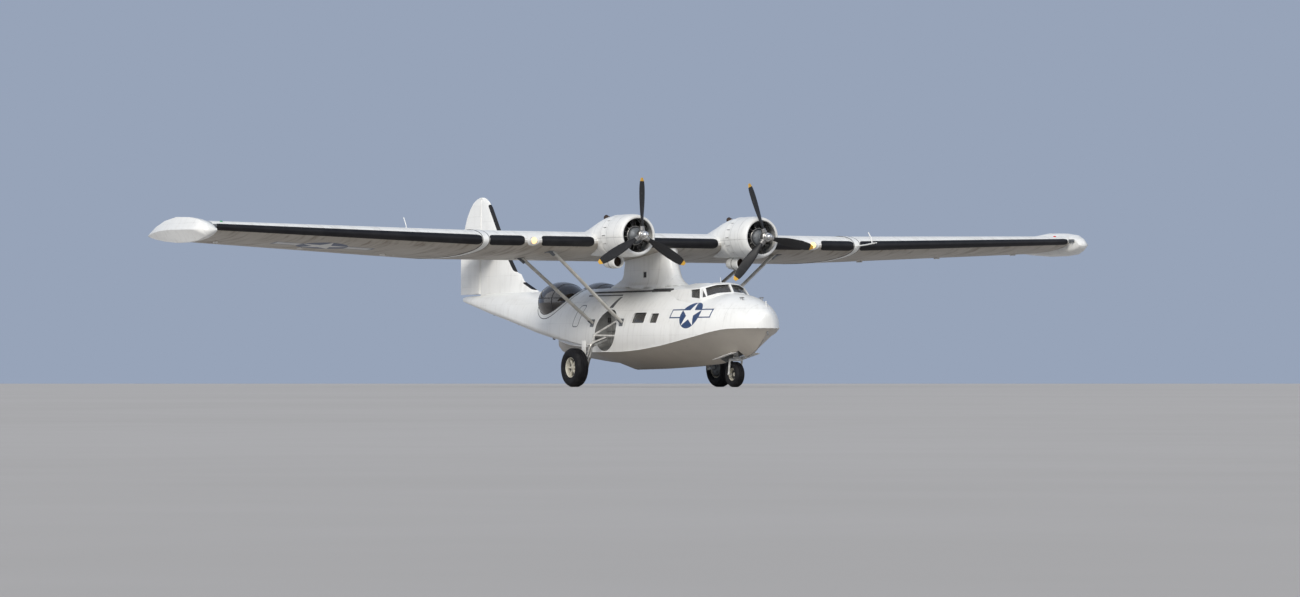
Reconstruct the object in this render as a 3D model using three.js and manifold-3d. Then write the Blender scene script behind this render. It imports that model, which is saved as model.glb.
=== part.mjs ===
// A twin-engined amphibian flying boat with a parasol wing, standing on its wheels.
// Millimetres. +Z is up and the floor is z = 0. The bow points along -Y and the starboard side is -X.
// A station is a distance aft of the bow.
import * as THREE from "three";
import { mergeVertices } from "three/addons/utils/BufferGeometryUtils.js";
import Module from "manifold-3d";

const wasm = await Module();
wasm.setup();

// Driving dimensions
const LENGTH = 19460;
const FIT_GAP = 0.3;
const RUNNING_GAP = 10;
const HULL_WALL = 50;
const AFT_WALL = 26;
const STEP_STATION = 7890;
const PORT = 1;
const STARBOARD = -1;
const SIDES = [
  { word: "right", side: STARBOARD },
  { word: "left", side: PORT },
];

// Colours of the finishes
const WHITE = { color: 0xe9e9e6, roughness: 0.3, metalness: 0 };
const FABRIC_WHITE = { color: 0xe4e4e0, roughness: 0.45, metalness: 0 };
const STRUT_GREY = { color: 0xb9b7ad, roughness: 0.45, metalness: 0.2 };
const ENGINE_GREY = { color: 0x3c4148, roughness: 0.5, metalness: 0.6 };
const BLADE_GREY = { color: 0x2b2c2e, roughness: 0.5, metalness: 0.2 };
const DARK_STEEL = { color: 0x3a3632, roughness: 0.5, metalness: 0.8 };
const TYRE_BLACK = { color: 0x17181a, roughness: 0.85, metalness: 0 };
const WHEEL_CREAM = { color: 0xd9d4c2, roughness: 0.4, metalness: 0.1 };
const TINTED_GLASS = { color: 0x20262b, roughness: 0.08, metalness: 0 };
const CABIN_GREEN = { color: 0x6d7565, roughness: 0.7, metalness: 0 };
const SEAT_BROWN = { color: 0x4a3a2c, roughness: 0.8, metalness: 0 };

// Y of a station
const aft = (station) => station - LENGTH / 2;

// A closed solid from any closed geometry, its points merged and its faces turned out
function solid(geometry) {
  const bare = new THREE.BufferGeometry();
  bare.setAttribute("position", geometry.getAttribute("position").clone());
  if (geometry.index) bare.setIndex(geometry.index.clone());
  const merged = mergeVertices(bare, 1e-3);
  const index = merged.index.array;
  const kept = [];
  for (let i = 0; i < index.length; i += 3) {
    const [a, b, c] = [index[i], index[i + 1], index[i + 2]];
    if (a !== b && b !== c && c !== a) kept.push(a, b, c);
  }
  const vertProperties = new Float32Array(merged.getAttribute("position").array);
  const corner = (i) => new THREE.Vector3().fromArray(vertProperties, 3 * kept[i]);
  let volume = 0;
  for (let i = 0; i < kept.length; i += 3) volume += corner(i).dot(corner(i + 1).cross(corner(i + 2)));
  const triVerts = new Uint32Array(volume > 0 ? kept : kept.toReversed());
  return new wasm.Manifold(new wasm.Mesh({ numProp: 3, vertProperties, triVerts }));
}

// A solid through rings of points. Every ring has the same number of points and runs the same way round.
function loft(rings) {
  const count = rings[0].length;
  const points = rings.flat();
  const faces = [];
  for (let r = 0; r + 1 < rings.length; r += 1) {
    for (let i = 0; i < count; i += 1) {
      const a = r * count + i;
      const b = r * count + ((i + 1) % count);
      faces.push([a, b, b + count], [a, b + count, a + count]);
    }
  }
  for (const [start, flip] of [[0, true], [(rings.length - 1) * count, false]]) {
    const middle = points.length;
    const centre = new THREE.Vector3();
    for (let i = 0; i < count; i += 1) centre.add(points[start + i]);
    points.push(centre.divideScalar(count));
    for (let i = 0; i < count; i += 1) {
      const a = start + i;
      const b = start + ((i + 1) % count);
      faces.push(flip ? [b, a, middle] : [a, b, middle]);
    }
  }
  const geometry = new THREE.BufferGeometry();
  const numbers = points.flatMap((p) => p.toArray());
  geometry.setAttribute("position", new THREE.Float32BufferAttribute(numbers, 3));
  geometry.setIndex(faces.flat());
  return solid(geometry);
}

// A box between two corners
function block([x0, y0, z0], [x1, y1, z1]) {
  const geometry = new THREE.BoxGeometry(Math.abs(x1 - x0), Math.abs(y1 - y0), Math.abs(z1 - z0));
  return solid(geometry.translate((x0 + x1) / 2, (y0 + y1) / 2, (z0 + z1) / 2));
}

// A round bar from one point to another, tapering if the second radius differs
function bar(from, to, radius, endRadius = radius, sides = 10) {
  const along = to.clone().sub(from);
  const geometry = new THREE.CylinderGeometry(endRadius, radius, along.length(), sides);
  geometry.translate(0, along.length() / 2, 0);
  const turn = new THREE.Quaternion().setFromUnitVectors(new THREE.Vector3(0, 1, 0), along.normalize());
  return solid(geometry.applyQuaternion(turn).translate(from.x, from.y, from.z));
}

// A flat outline in the plane of station and height, pushed through from one x to another
function sidePrism(outline, x0, x1) {
  const near = outline.map(([station, z]) => new THREE.Vector3(x0, aft(station), z));
  const far = outline.map(([station, z]) => new THREE.Vector3(x1, aft(station), z));
  return loft([near, far]);
}

// A flat outline in the plane of x and height, pushed through from one station to another
function frontPrism(outline, station0, station1) {
  const near = outline.map(([x, z]) => new THREE.Vector3(x, aft(station0), z));
  const far = outline.map(([x, z]) => new THREE.Vector3(x, aft(station1), z));
  return loft([near, far]);
}

// A solid of revolution. Its profile is [radius, distance] pairs, and the distance runs along a line from
// a centre in a direction.
function turned(profile, centre, direction, sides) {
  const outline = profile.map(([radius, distance]) => new THREE.Vector2(radius, distance));
  const geometry = new THREE.LatheGeometry(outline, sides);
  const turn = new THREE.Quaternion().setFromUnitVectors(new THREE.Vector3(0, 1, 0), direction);
  return solid(geometry.applyQuaternion(turn).translate(centre.x, centre.y, centre.z));
}

const joined = (solids) => solids.reduce((sum, next) => sum.add(next));
const without = (body, cutters) => cutters.reduce((left, next) => left.subtract(next), body);
const AFT = new THREE.Vector3(0, 1, 0);

const part = new THREE.Group();

// Puts a finished solid in the model under its name
function place(name, made, finish) {
  const mesh = made.getMesh();
  const geometry = new THREE.BufferGeometry();
  geometry.setAttribute("position", new THREE.BufferAttribute(new Float32Array(mesh.vertProperties), 3));
  geometry.setIndex(new THREE.BufferAttribute(new Uint32Array(mesh.triVerts), 1));
  geometry.computeVertexNormals();
  const node = new THREE.Mesh(geometry, new THREE.MeshStandardMaterial(finish));
  node.name = name;
  part.add(node);
}

// Hull. Forward of the step it has a vee bottom, hard chines and a rounded deck.
const FORWARD_HULL = [
  { station: 0, keel: 1735, chine: 1752, beam: 150, knee: 1795, deck: 2140 },
  { station: 60, keel: 1680, chine: 1752, beam: 260, knee: 1795, deck: 2220 },
  { station: 200, keel: 1530, chine: 1752, beam: 440, knee: 1795, deck: 2335 },
  { station: 450, keel: 1300, chine: 1751, beam: 640, knee: 1795, deck: 2475 },
  { station: 700, keel: 1105, chine: 1745, beam: 790, knee: 1790, deck: 2570 },
  { station: 1000, keel: 975, chine: 1730, beam: 940, knee: 1775, deck: 2665 },
  { station: 1350, keel: 880, chine: 1670, beam: 1110, knee: 1715, deck: 2745 },
  { station: 1640, keel: 825, chine: 1612, beam: 1215, knee: 1660, deck: 2785 },
  { station: 2000, keel: 780, chine: 1540, beam: 1300, knee: 1590, deck: 2815 },
  { station: 2480, keel: 732, chine: 1455, beam: 1385, knee: 1525, deck: 2850 },
  { station: 3000, keel: 690, chine: 1370, beam: 1450, knee: 1485, deck: 2920 },
  { station: 3600, keel: 654, chine: 1280, beam: 1502, knee: 1460, deck: 3020 },
  { station: 4000, keel: 634, chine: 1230, beam: 1530, knee: 1450, deck: 3080 },
  { station: 5000, keel: 600, chine: 1140, beam: 1550, knee: 1440, deck: 3105 },
  { station: 6000, keel: 570, chine: 1090, beam: 1550, knee: 1440, deck: 3100 },
  { station: STEP_STATION, keel: 544, chine: 1080, beam: 1550, knee: 1440, deck: 3100 },
];
// Aft of the step the upper hull runs on into the round tail boom
const AFT_HULL = [
  { station: STEP_STATION, bottom: 1180, side: 1230, beam: 1550, knee: 1440, deck: 3100 },
  { station: 9300, bottom: 1270, side: 1420, beam: 1535, knee: 1560, deck: 3090 },
  { station: 10900, bottom: 1370, side: 1700, beam: 1410, knee: 1800, deck: 3075 },
  { station: 12500, bottom: 1570, side: 1930, beam: 1180, knee: 1990, deck: 3060 },
  { station: 13400, bottom: 1730, side: 2060, beam: 1040, knee: 2110, deck: 3050 },
  { station: 14900, bottom: 2000, side: 2290, beam: 820, knee: 2330, deck: 3060 },
  { station: 16900, bottom: 2350, side: 2570, beam: 520, knee: 2600, deck: 3060 },
  { station: 18000, bottom: 2570, side: 2715, beam: 350, knee: 2745, deck: 2990 },
  { station: 18700, bottom: 2710, side: 2805, beam: 240, knee: 2830, deck: 2975 },
  { station: 19050, bottom: 2785, side: 2845, beam: 170, knee: 2865, deck: 2960 },
  { station: 19200, bottom: 2850, side: 2880, beam: 80, knee: 2890, deck: 2930 },
];
// Under it the second planing bottom narrows to the point of the second step
const AFTERBODY = [
  { station: STEP_STATION, keel: 690, chine: 1225, beam: 1550, top: 1600 },
  { station: 9300, keel: 775, chine: 1290, beam: 1400, top: 1600 },
  { station: 10900, keel: 920, chine: 1375, beam: 830, top: 1700 },
  { station: 11700, keel: 1010, chine: 1410, beam: 470, top: 1800 },
  { station: 12500, keel: 1110, chine: 1450, beam: 130, top: 1900 },
  { station: 12800, keel: 1300, chine: 1470, beam: 20, top: 1900 },
];
const DECK_STEPS = 7;
const BILGE_STEPS = 3;

// Both halves of a ring from the points of its port half, which start at the keel and end on the deck
function mirrored(half, station) {
  const port = half.map(([x, z]) => new THREE.Vector3(x, aft(station), z));
  const starboard = half.slice(1, -1).reverse().map(([x, z]) => new THREE.Vector3(-x, aft(station), z));
  return [...port, ...starboard];
}

// Points of a quarter ellipse from its widest point to its crown, without the first
function quarter(halfWidth, from, to, steps) {
  const points = [];
  for (let i = 1; i <= steps; i += 1) {
    const angle = (i / steps) * (Math.PI / 2);
    points.push([halfWidth * Math.cos(angle), from + (to - from) * Math.sin(angle)]);
  }
  points[steps - 1][0] = 0;
  return points;
}

function forwardRing(row, inset) {
  const beam = row.beam - inset;
  const half = [[0, row.keel + inset], [beam, row.chine + inset / 2], [beam, row.knee]];
  return mirrored([...half, ...quarter(beam, row.knee, row.deck - inset, DECK_STEPS)], row.station);
}

function aftRing(row, inset) {
  const beam = row.beam - inset;
  const bilge = quarter(beam, row.side, row.bottom + inset, BILGE_STEPS).reverse();
  const half = [...bilge, [beam, row.side], [beam, row.knee]];
  return mirrored([...half, ...quarter(beam, row.knee, row.deck - inset, DECK_STEPS)], row.station);
}

function afterbodyRing(row, inset) {
  const beam = Math.max(row.beam - inset, 5);
  const half = [[0, row.keel + inset], [beam, row.chine + inset / 2], [beam, row.top], [0, row.top]];
  return mirrored(half, row.station);
}

const forwardHull = (inset, from = 0) =>
  loft(FORWARD_HULL.filter((row) => row.station >= from).map((row) => forwardRing(row, inset)));
const aftHull = (inset, upTo = LENGTH) =>
  loft(AFT_HULL.filter((row) => row.station <= upTo).map((row) => aftRing(row, inset)));
const afterbody = (inset, upTo = LENGTH) =>
  loft(AFTERBODY.filter((row) => row.station <= upTo).map((row) => afterbodyRing(row, inset)));
const wholeHull = (inset) => joined([forwardHull(inset), aftHull(inset), afterbody(inset)]);
const hullSkinGrown = wholeHull(-FIT_GAP);

// Everything between two stations
function between(station0, station1) {
  return block([-3000, aft(station0), 0], [3000, aft(station1), 4000]);
}

// Wheel wells in the hull sides
const MAIN_WHEEL = { x: 2590, station: 7150, radius: 595, width: 410, rim: 315 };
const WELL = { station: 7130, z: 1740, radius: 640, inner: 1080, wall: 40, aftEdge: 7790 };
function wellSolid(side, radius, inner) {
  const from = new THREE.Vector3(side * inner, aft(WELL.station), WELL.z);
  const to = new THREE.Vector3(side * 1700, aft(WELL.station), WELL.z);
  const behind = between(WELL.aftEdge - WELL.radius + radius, STEP_STATION + 400);
  return bar(from, to, radius, radius, 32).subtract(behind);
}

// Windows as outlines of station and height, cut through both hull sides
const SIDE_WINDOWS = [
  { outline: [[4130, 1940], [4580, 1940], [4580, 2225], [4130, 2225]] },
  { outline: [[4880, 1945], [5650, 1945], [5650, 2190], [5580, 2260], [4880, 2260]] },
];
const throughSides = (outline) => sidePrism(outline, -1700, 1700);
const windowCuts = SIDE_WINDOWS.map((row) => throughSides(row.outline));

// Cockpit canopy, from the middle of the windscreen round its port side to its aft edge. The foot stands on
// the deck, the eave is the edge of the roof, and the crown is the top of the roof beside the centre line.
const CANOPY = [
  { foot: [0, 2000, 2815], eave: [0, 2240, 3110], crown: [0, 2420, 3145] },
  { foot: [430, 2110, 2790], eave: [400, 2400, 3088], crown: [200, 2520, 3140] },
  { foot: [745, 2340, 2700], eave: [690, 2600, 3010], crown: [340, 2680, 3132] },
  { foot: [900, 2450, 2660], eave: [785, 2665, 2985], crown: [385, 2760, 3130] },
  { foot: [985, 2920, 2640], eave: [880, 2930, 2950], crown: [430, 2940, 3130] },
  { foot: [1010, 3500, 2640], eave: [895, 3500, 2950], crown: [430, 3500, 3130] },
  { foot: [960, 4300, 2640], eave: [840, 4300, 2915], crown: [400, 4300, 3070] },
  { foot: [0, 4340, 2640], eave: [0, 4340, 3100], crown: [0, 4335, 3108] },
];
const CANOPY_WALL = 32;
const CANOPY_DROP = 200;
const CANOPY_MIDDLE = 3100;

// The canopy's outside drawn in by a distance, with its foot carried down through the deck
function canopySolid(inset) {
  const inward = ([x, station, z], lowered) => {
    const out = new THREE.Vector2(x, (station - CANOPY_MIDDLE) * 0.5);
    const scale = (out.length() - inset) / out.length();
    return new THREE.Vector3(x * scale, aft(CANOPY_MIDDLE + (station - CANOPY_MIDDLE) * scale), z - lowered);
  };
  const rings = [
    CANOPY.map(({ foot }) => inward(foot, CANOPY_DROP)),
    CANOPY.map(({ foot }) => inward(foot, 0)),
    CANOPY.map(({ eave }) => inward(eave, inset * 0.7)),
    CANOPY.map(({ crown }) => inward(crown, inset)),
  ];
  return loft(rings.map((port) => {
    const starboard = port.slice(1, -1).reverse().map((p) => new THREE.Vector3(-p.x, p.y, p.z));
    return [...port, ...starboard];
  }));
}

// Panes of the canopy: the windscreen as an outline of x and height, the side panes as outlines of station
// and height, and the roof panes as outlines of x and station
const WINDSCREEN = [[28, 2848], [430, 2820], [722, 2725], [666, 2972], [390, 3062], [28, 3084]];
const CANOPY_SIDE_PANES = [
  [[2356, 2705], [2446, 2675], [2604, 2925], [2572, 2925]],
  [[2486, 2655], [2905, 2690], [3030, 2922], [2650, 2945]],
];
const ROOF_PANE = { inner: 110, outer: 400, fore: 2640, aft: 3080 };

function canopyCuts() {
  const mirroredScreen = WINDSCREEN.map(([x, z]) => [-x, z]);
  const screens = [WINDSCREEN, mirroredScreen].map((outline) => frontPrism(outline, 1900, 2650));
  const sides = SIDES.flatMap(({ side }) =>
    CANOPY_SIDE_PANES.map((outline) => sidePrism(outline, side * 560, side * 1200)),
  );
  const roof = SIDES.map(({ side }) =>
    block(
      [side * ROOF_PANE.inner, aft(ROOF_PANE.fore), 3040],
      [side * ROOF_PANE.outer, aft(ROOF_PANE.aft), 3300],
    ),
  );
  return [...screens, ...sides, ...roof];
}

// Blisters on both sides of the waist
const BLISTER = { station: 11300, x: 700, z: 2660, radius: 720, halfLength: 950, halfHeight: 650, wall: 16 };
function blisterSolid(side, inset) {
  const ball = new THREE.SphereGeometry(1, 24, 12);
  ball.scale(BLISTER.radius - inset, BLISTER.halfLength - inset, BLISTER.halfHeight - inset);
  return solid(ball.translate(side * BLISTER.x, aft(BLISTER.station), BLISTER.z));
}
const blisterCuts = SIDES.map(({ side }) => blisterSolid(side, 60));

// The well for the nose wheel, open at the bottom
const NOSE_WHEEL = { station: 1950, radius: 380, width: 300, rim: 190 };
const NOSE_WELL = { fore: 1300, aft: 2450, halfWidth: 270, top: 1500, wall: 30 };
const noseWellBox = (grow) =>
  block(
    [-NOSE_WELL.halfWidth - grow, aft(NOSE_WELL.fore - grow), 300],
    [NOSE_WELL.halfWidth + grow, aft(NOSE_WELL.aft + grow), NOSE_WELL.top + grow],
  );

function hollowForward() {
  const inner = forwardHull(HULL_WALL, 450);
  const bulkhead = block([-1600, aft(STEP_STATION - 60), 400], [1600, aft(STEP_STATION + 1), 3200]);
  const doorway = block([-600, aft(STEP_STATION - 80), 1500], [600, aft(STEP_STATION + 1), 2850]);
  const room = inner.subtract(bulkhead).add(doorway);
  return forwardHull(0).subtract(room);
}

function makeHull() {
  const forward = hollowForward();
  const wellWalls = SIDES.map(({ side }) =>
    wellSolid(side, WELL.radius + WELL.wall, WELL.inner - WELL.wall).intersect(forwardHull(1)),
  );
  const wellCuts = SIDES.map(({ side }) => wellSolid(side, WELL.radius, WELL.inner));
  const noseWalls = noseWellBox(NOSE_WELL.wall).intersect(forwardHull(1));
  const walls = joined([forward, ...wellWalls, noseWalls]);
  const shell = without(walls, [...wellCuts, noseWellBox(0), ...windowCuts, canopySolid(2 * CANOPY_WALL)]);
  const aftRoom = aftHull(AFT_WALL, 18000).add(afterbody(AFT_WALL, 12500));
  const aftShell = without(aftHull(0).add(afterbody(0)).subtract(aftRoom), blisterCuts);
  const cuts = [3600, STEP_STATION, 13000];
  place("hull_bow", shell.intersect(between(-10, cuts[0] - FIT_GAP)), WHITE);
  place("hull_centre", shell.intersect(between(cuts[0], cuts[1] - FIT_GAP)), WHITE);
  place("hull_aft", aftShell.intersect(between(cuts[1], cuts[2] - FIT_GAP)), WHITE);
  place("tail_boom", aftShell.intersect(between(cuts[2], LENGTH)), WHITE);
}
makeHull();

// Glazing: sheets that lie against the inside of the skin and reach a little past the holes
const CABIN_GLAZING = [[4040, 1880], [5740, 1885], [5740, 2320], [4040, 2300]];
const GLASS_THICKNESS = 12;
function makePanes() {
  const outer = forwardHull(HULL_WALL + FIT_GAP, 450);
  const sheet = outer.subtract(forwardHull(HULL_WALL + GLASS_THICKNESS, 450));
  for (const { word, side } of SIDES) {
    const pane = sheet.intersect(sidePrism(CABIN_GLAZING, side * 600, side * 1700));
    place(`window_cabin_${word}`, pane, TINTED_GLASS);
  }
  const shell = without(canopySolid(0), [canopySolid(CANOPY_WALL), hullSkinGrown, ...canopyCuts()]);
  place("cockpit_canopy", shell, WHITE);
  const lining = canopySolid(CANOPY_WALL + FIT_GAP).subtract(canopySolid(CANOPY_WALL + GLASS_THICKNESS));
  const glazed = block([-1100, aft(1900), 2500], [1100, aft(3180), 3300]);
  place("canopy_glazing", lining.intersect(glazed).subtract(hullSkinGrown), TINTED_GLASS);
}
makePanes();

function makeBlisters() {
  const middle = block([-0.5, aft(BLISTER.station - 2000), 0], [0.5, aft(BLISTER.station + 2000), 5000]);
  for (const { word, side } of SIDES) {
    const shell = blisterSolid(side, 0).subtract(blisterSolid(side, BLISTER.wall));
    place(`blister_${word}`, without(shell, [hullSkinGrown, middle]), TINTED_GLASS);
  }
}
makeBlisters();

// Aerofoil sections. A fraction of the chord is 0 at the nose and 1 at the tail.
const TAIL_TERM = 0.1015;
function halfThickness(ratio, fraction) {
  const f = fraction;
  const shape = 0.2969 * Math.sqrt(f) - 0.126 * f - 0.3516 * f ** 2 + 0.2843 * f ** 3 - TAIL_TERM * f ** 4;
  return 5 * ratio * shape;
}
const CAMBER = 0.018;
const CAMBER_PEAK = 0.3;
function camberAt(fraction, camber) {
  const p = CAMBER_PEAK;
  if (fraction < p) return (camber / p ** 2) * (2 * p * fraction - fraction ** 2);
  return (camber / (1 - p) ** 2) * (1 - 2 * p + 2 * p * fraction - fraction ** 2);
}

// Fractions of the chord, close together near the nose
const FRACTIONS = [0, 0.006, 0.022, 0.055, 0.12, 0.23, 0.4, 0.62, 0.82, 1];

// Points [along, up] round a section: from the tail over the top to the nose and back below
function sectionPoints({ chord, ratio, camber = 0, turn = 0 }, grow) {
  const at = (fraction, sign) => {
    const along = fraction * (chord + 2 * grow) - grow;
    const up = (camberAt(fraction, camber) + sign * halfThickness(ratio, fraction)) * chord + sign * grow;
    return [along * Math.cos(turn) + up * Math.sin(turn), up * Math.cos(turn) - along * Math.sin(turn)];
  };
  const over = [...FRACTIONS].reverse().map((f) => at(f, 1));
  const under = FRACTIONS.map((f) => at(f, -1));
  return [...over, ...under];
}

// A wing section lies in a plane of constant x, and a fin section in a plane of constant z
const wingRing = ({ x, lead, z, ...form }, grow) =>
  sectionPoints(form, grow).map(([along, up]) => new THREE.Vector3(x, aft(lead + along), z + up));
const finRing = ({ z, lead, ...form }, grow) =>
  sectionPoints(form, grow).map(([along, across]) => new THREE.Vector3(across, aft(lead + along), z));

// Wing: the centre section has a constant chord, and the outer panels taper and rise
const INCIDENCE = THREE.MathUtils.degToRad(6);
const TIP_INCIDENCE = THREE.MathUtils.degToRad(7);
const WING_JOINT = 6570;
const WING_END = 15180;
const ROOT_SECTION = { lead: 5440, z: 4420, chord: 4570, ratio: 0.153, camber: CAMBER, turn: INCIDENCE };
const TIP_SECTION = { lead: 6240, z: 4700, chord: 2850, ratio: 0.15, camber: CAMBER, turn: TIP_INCIDENCE };
const TIP_X = 15400;

// The outer panel's section at a distance from the centre line
function outerSection(x) {
  const t = (x - WING_JOINT) / (TIP_X - WING_JOINT);
  const mixed = {};
  for (const key of Object.keys(ROOT_SECTION)) {
    mixed[key] = ROOT_SECTION[key] + (TIP_SECTION[key] - ROOT_SECTION[key]) * t;
  }
  return mixed;
}

function centreWing(grow) {
  return loft([-WING_JOINT, WING_JOINT].map((x) => wingRing({ x, ...ROOT_SECTION }, grow)));
}

function outerWing(side, from, to, grow) {
  return loft([from, to].map((x) => wingRing({ ...outerSection(x), x: side * x }, grow)));
}

// A point on a section's mean line
function meanPoint(section, x, fraction) {
  const along = fraction * section.chord;
  const up = camberAt(fraction, section.camber) * section.chord;
  const dy = along * Math.cos(section.turn) + up * Math.sin(section.turn);
  const dz = up * Math.cos(section.turn) - along * Math.sin(section.turn);
  return new THREE.Vector3(x, aft(section.lead + dy), section.z + dz);
}

const AILERON = { inner: 8000, outer: 14800, hinge: 0.76, endGap: 25 };

// The hinge line of an aileron and its nose radius at both ends
function aileronHinge(side) {
  return [AILERON.inner, AILERON.outer].map((x) => {
    const section = outerSection(x);
    return {
      x,
      point: meanPoint(section, side * x, AILERON.hinge),
      radius: halfThickness(section.ratio, AILERON.hinge) * section.chord,
    };
  });
}

// The part of space aft of a hinge line, moved forward by a distance
function behindHinge(ends, forward, endGap) {
  const rings = ends.map(({ point, radius }, i) => {
    const x = point.x + Math.sign(point.x) * (i === 0 ? -endGap : endGap);
    const y = point.y - (forward === 0 ? 0 : radius + forward);
    return [
      new THREE.Vector3(x, y, point.z - 600),
      new THREE.Vector3(x, y + 3000, point.z - 600),
      new THREE.Vector3(x, y + 3000, point.z + 600),
      new THREE.Vector3(x, y, point.z + 600),
    ];
  });
  return loft(rings);
}

function makeWing() {
  place("wing_centre", centreWing(0), FABRIC_WHITE);
  for (const { word, side } of SIDES) {
    const ends = aileronHinge(side);
    const panel = outerWing(side, WING_JOINT + FIT_GAP, WING_END, 0);
    const bay = behindHinge(ends, RUNNING_GAP, AILERON.endGap);
    place(`wing_outer_${word}`, panel.subtract(bay), FABRIC_WHITE);
    const blade = outerWing(side, AILERON.inner, AILERON.outer, 0).intersect(behindHinge(ends, 0, 0));
    const nose = bar(ends[0].point, ends[1].point, ends[0].radius - 2, ends[1].radius - 2);
    place(`aileron_${word}`, blade.add(nose), FABRIC_WHITE);
  }
}
makeWing();

// The floats swing up to be the wing tips, lying on their sides with the keels outboard
const FLOAT = [
  { station: 5800, keel: 15560, chine: 15480, half: 60, z: 4575 },
  { station: 5930, keel: 15730, chine: 15560, half: 185, z: 4580 },
  { station: 6300, keel: 15840, chine: 15620, half: 305, z: 4590 },
  { station: 6900, keel: 15850, chine: 15640, half: 365, z: 4605 },
  { station: 7800, keel: 15850, chine: 15640, half: 380, z: 4620 },
  { station: 8700, keel: 15790, chine: 15600, half: 305, z: 4605 },
  { station: 9400, keel: 15680, chine: 15560, half: 190, z: 4565 },
  { station: 9850, keel: 15570, chine: 15510, half: 95, z: 4530 },
  { station: 10120, keel: 15500, chine: 15480, half: 30, z: 4505 },
];
const FLOAT_DECK = 15250;

function makeFloats() {
  for (const { word, side } of SIDES) {
    const rings = FLOAT.map(({ station, keel, half, chine, z }) => {
      const outline = [
        [keel, 0],
        [chine, half],
        [chine - 120, half],
        [FLOAT_DECK + 60, half * 0.8],
        [FLOAT_DECK, half * 0.5],
        [FLOAT_DECK, -half * 0.5],
        [FLOAT_DECK + 60, -half * 0.8],
        [chine - 120, -half],
        [chine, -half],
      ];
      return outline.map(([x, up]) => new THREE.Vector3(side * x, aft(station), z + up));
    });
    const neck = outerWing(side, WING_END + FIT_GAP, FLOAT_DECK + 100, 0);
    place(`float_${word}`, loft(rings).add(neck), WHITE);
  }
}
makeFloats();

// Pylon between the deck and the wing, as plan sections
const PYLON = [
  { z: 2700, lead: 4880, chord: 4540, ratio: 0.21 },
  { z: 3120, lead: 4900, chord: 4500, ratio: 0.21 },
  { z: 3150, lead: 4960, chord: 4330, ratio: 0.205 },
  { z: 3230, lead: 5120, chord: 3910, ratio: 0.212 },
  { z: 3350, lead: 5280, chord: 3440, ratio: 0.23 },
  { z: 3480, lead: 5370, chord: 3270, ratio: 0.24 },
  { z: 3800, lead: 5500, chord: 3070, ratio: 0.254 },
  { z: 4300, lead: 5590, chord: 2930, ratio: 0.265 },
];
const pylonForm = loft(PYLON.map((row) => finRing(row, 0)));
place("pylon", without(pylonForm, [hullSkinGrown, centreWing(FIT_GAP)]), WHITE);

// Wing struts: streamlined bars from the hull side to the wing
const STRUTS = [
  { name: "front", hullStation: 6220, wingStation: 6130, wingX: 4050, wingZ: 4160 },
  { name: "rear", hullStation: 8020, wingStation: 7900, wingX: 4120, wingZ: 3960 },
];
const STRUT = { hullX: 1420, hullZ: 1930, chord: 190, thick: 90 };
function makeStruts() {
  for (const { word, side } of SIDES) {
    for (const { name, hullStation, wingStation, wingX, wingZ } of STRUTS) {
      const ends = [[STRUT.hullX, hullStation, STRUT.hullZ], [wingX, wingStation, wingZ + 60]];
      const rings = ends.map(([x, station, z]) =>
        Array.from({ length: 12 }, (_, i) => {
          const angle = (i / 12) * 2 * Math.PI;
          const fore = (STRUT.chord / 2) * Math.cos(angle);
          const across = (STRUT.thick / 2) * Math.sin(angle) * Math.SQRT2;
          return new THREE.Vector3(side * (x + across / 2), aft(station) + fore, z - across / 2);
        }),
      );
      const rod = without(loft(rings), [hullSkinGrown, centreWing(FIT_GAP)]);
      place(`strut_${name}_${word}`, rod, STRUT_GREY);
    }
  }
}
makeStruts();

// Engines and propellers
const ENGINE = { x: 2178, z: 4570, propStation: 3740, cowlFront: 3950, cowlAft: 5100, radius: 650, opening: 490 };
// Nacelle sections: the top falls behind the cowl and meets the wing's upper skin
const NACELLE = [
  { station: 5112, top: 5185, bottom: 3960, wide: 600 },
  { station: 5500, top: 5180, bottom: 3965, wide: 590 },
  { station: 5830, top: 5100, bottom: 3975, wide: 565 },
  { station: 6230, top: 4975, bottom: 3990, wide: 520 },
  { station: 6630, top: 4860, bottom: 4005, wide: 460 },
  { station: 7040, top: 4760, bottom: 4040, wide: 385 },
  { station: 7600, top: 4650, bottom: 4110, wide: 280 },
  { station: 8200, top: 4505, bottom: 4200, wide: 150 },
  { station: 8500, top: 4400, bottom: 4250, wide: 50 },
];
const CYLINDERS = 7;
const ROWS = [{ station: 4330, turn: 0 }, { station: 4640, turn: Math.PI / CYLINDERS }];
const COWL_PROFILE = [
  [ENGINE.opening, 30],
  [ENGINE.opening + 25, 0],
  [ENGINE.opening + 80, 15],
  [ENGINE.radius - 40, 160],
  [ENGINE.radius, 420],
  [ENGINE.radius, 700],
  [ENGINE.radius - 15, ENGINE.cowlAft - ENGINE.cowlFront],
  [ENGINE.radius - 35, ENGINE.cowlAft - ENGINE.cowlFront],
  [ENGINE.radius - 22, 700],
  [ENGINE.radius - 22, 420],
  [ENGINE.radius - 60, 190],
  [ENGINE.opening + 40, 70],
  [ENGINE.opening, 30],
];

function nacelleSolid(x, grow) {
  const sides = 24;
  return loft(NACELLE.map(({ station, top, bottom, wide }) =>
    Array.from({ length: sides }, (_, i) => {
      const angle = (i / sides) * 2 * Math.PI;
      const high = (top - bottom) / 2 + grow;
      const across = (wide + grow) * Math.cos(angle);
      return new THREE.Vector3(x + across, aft(station), (top + bottom) / 2 + high * Math.sin(angle));
    }),
  ));
}

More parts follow.
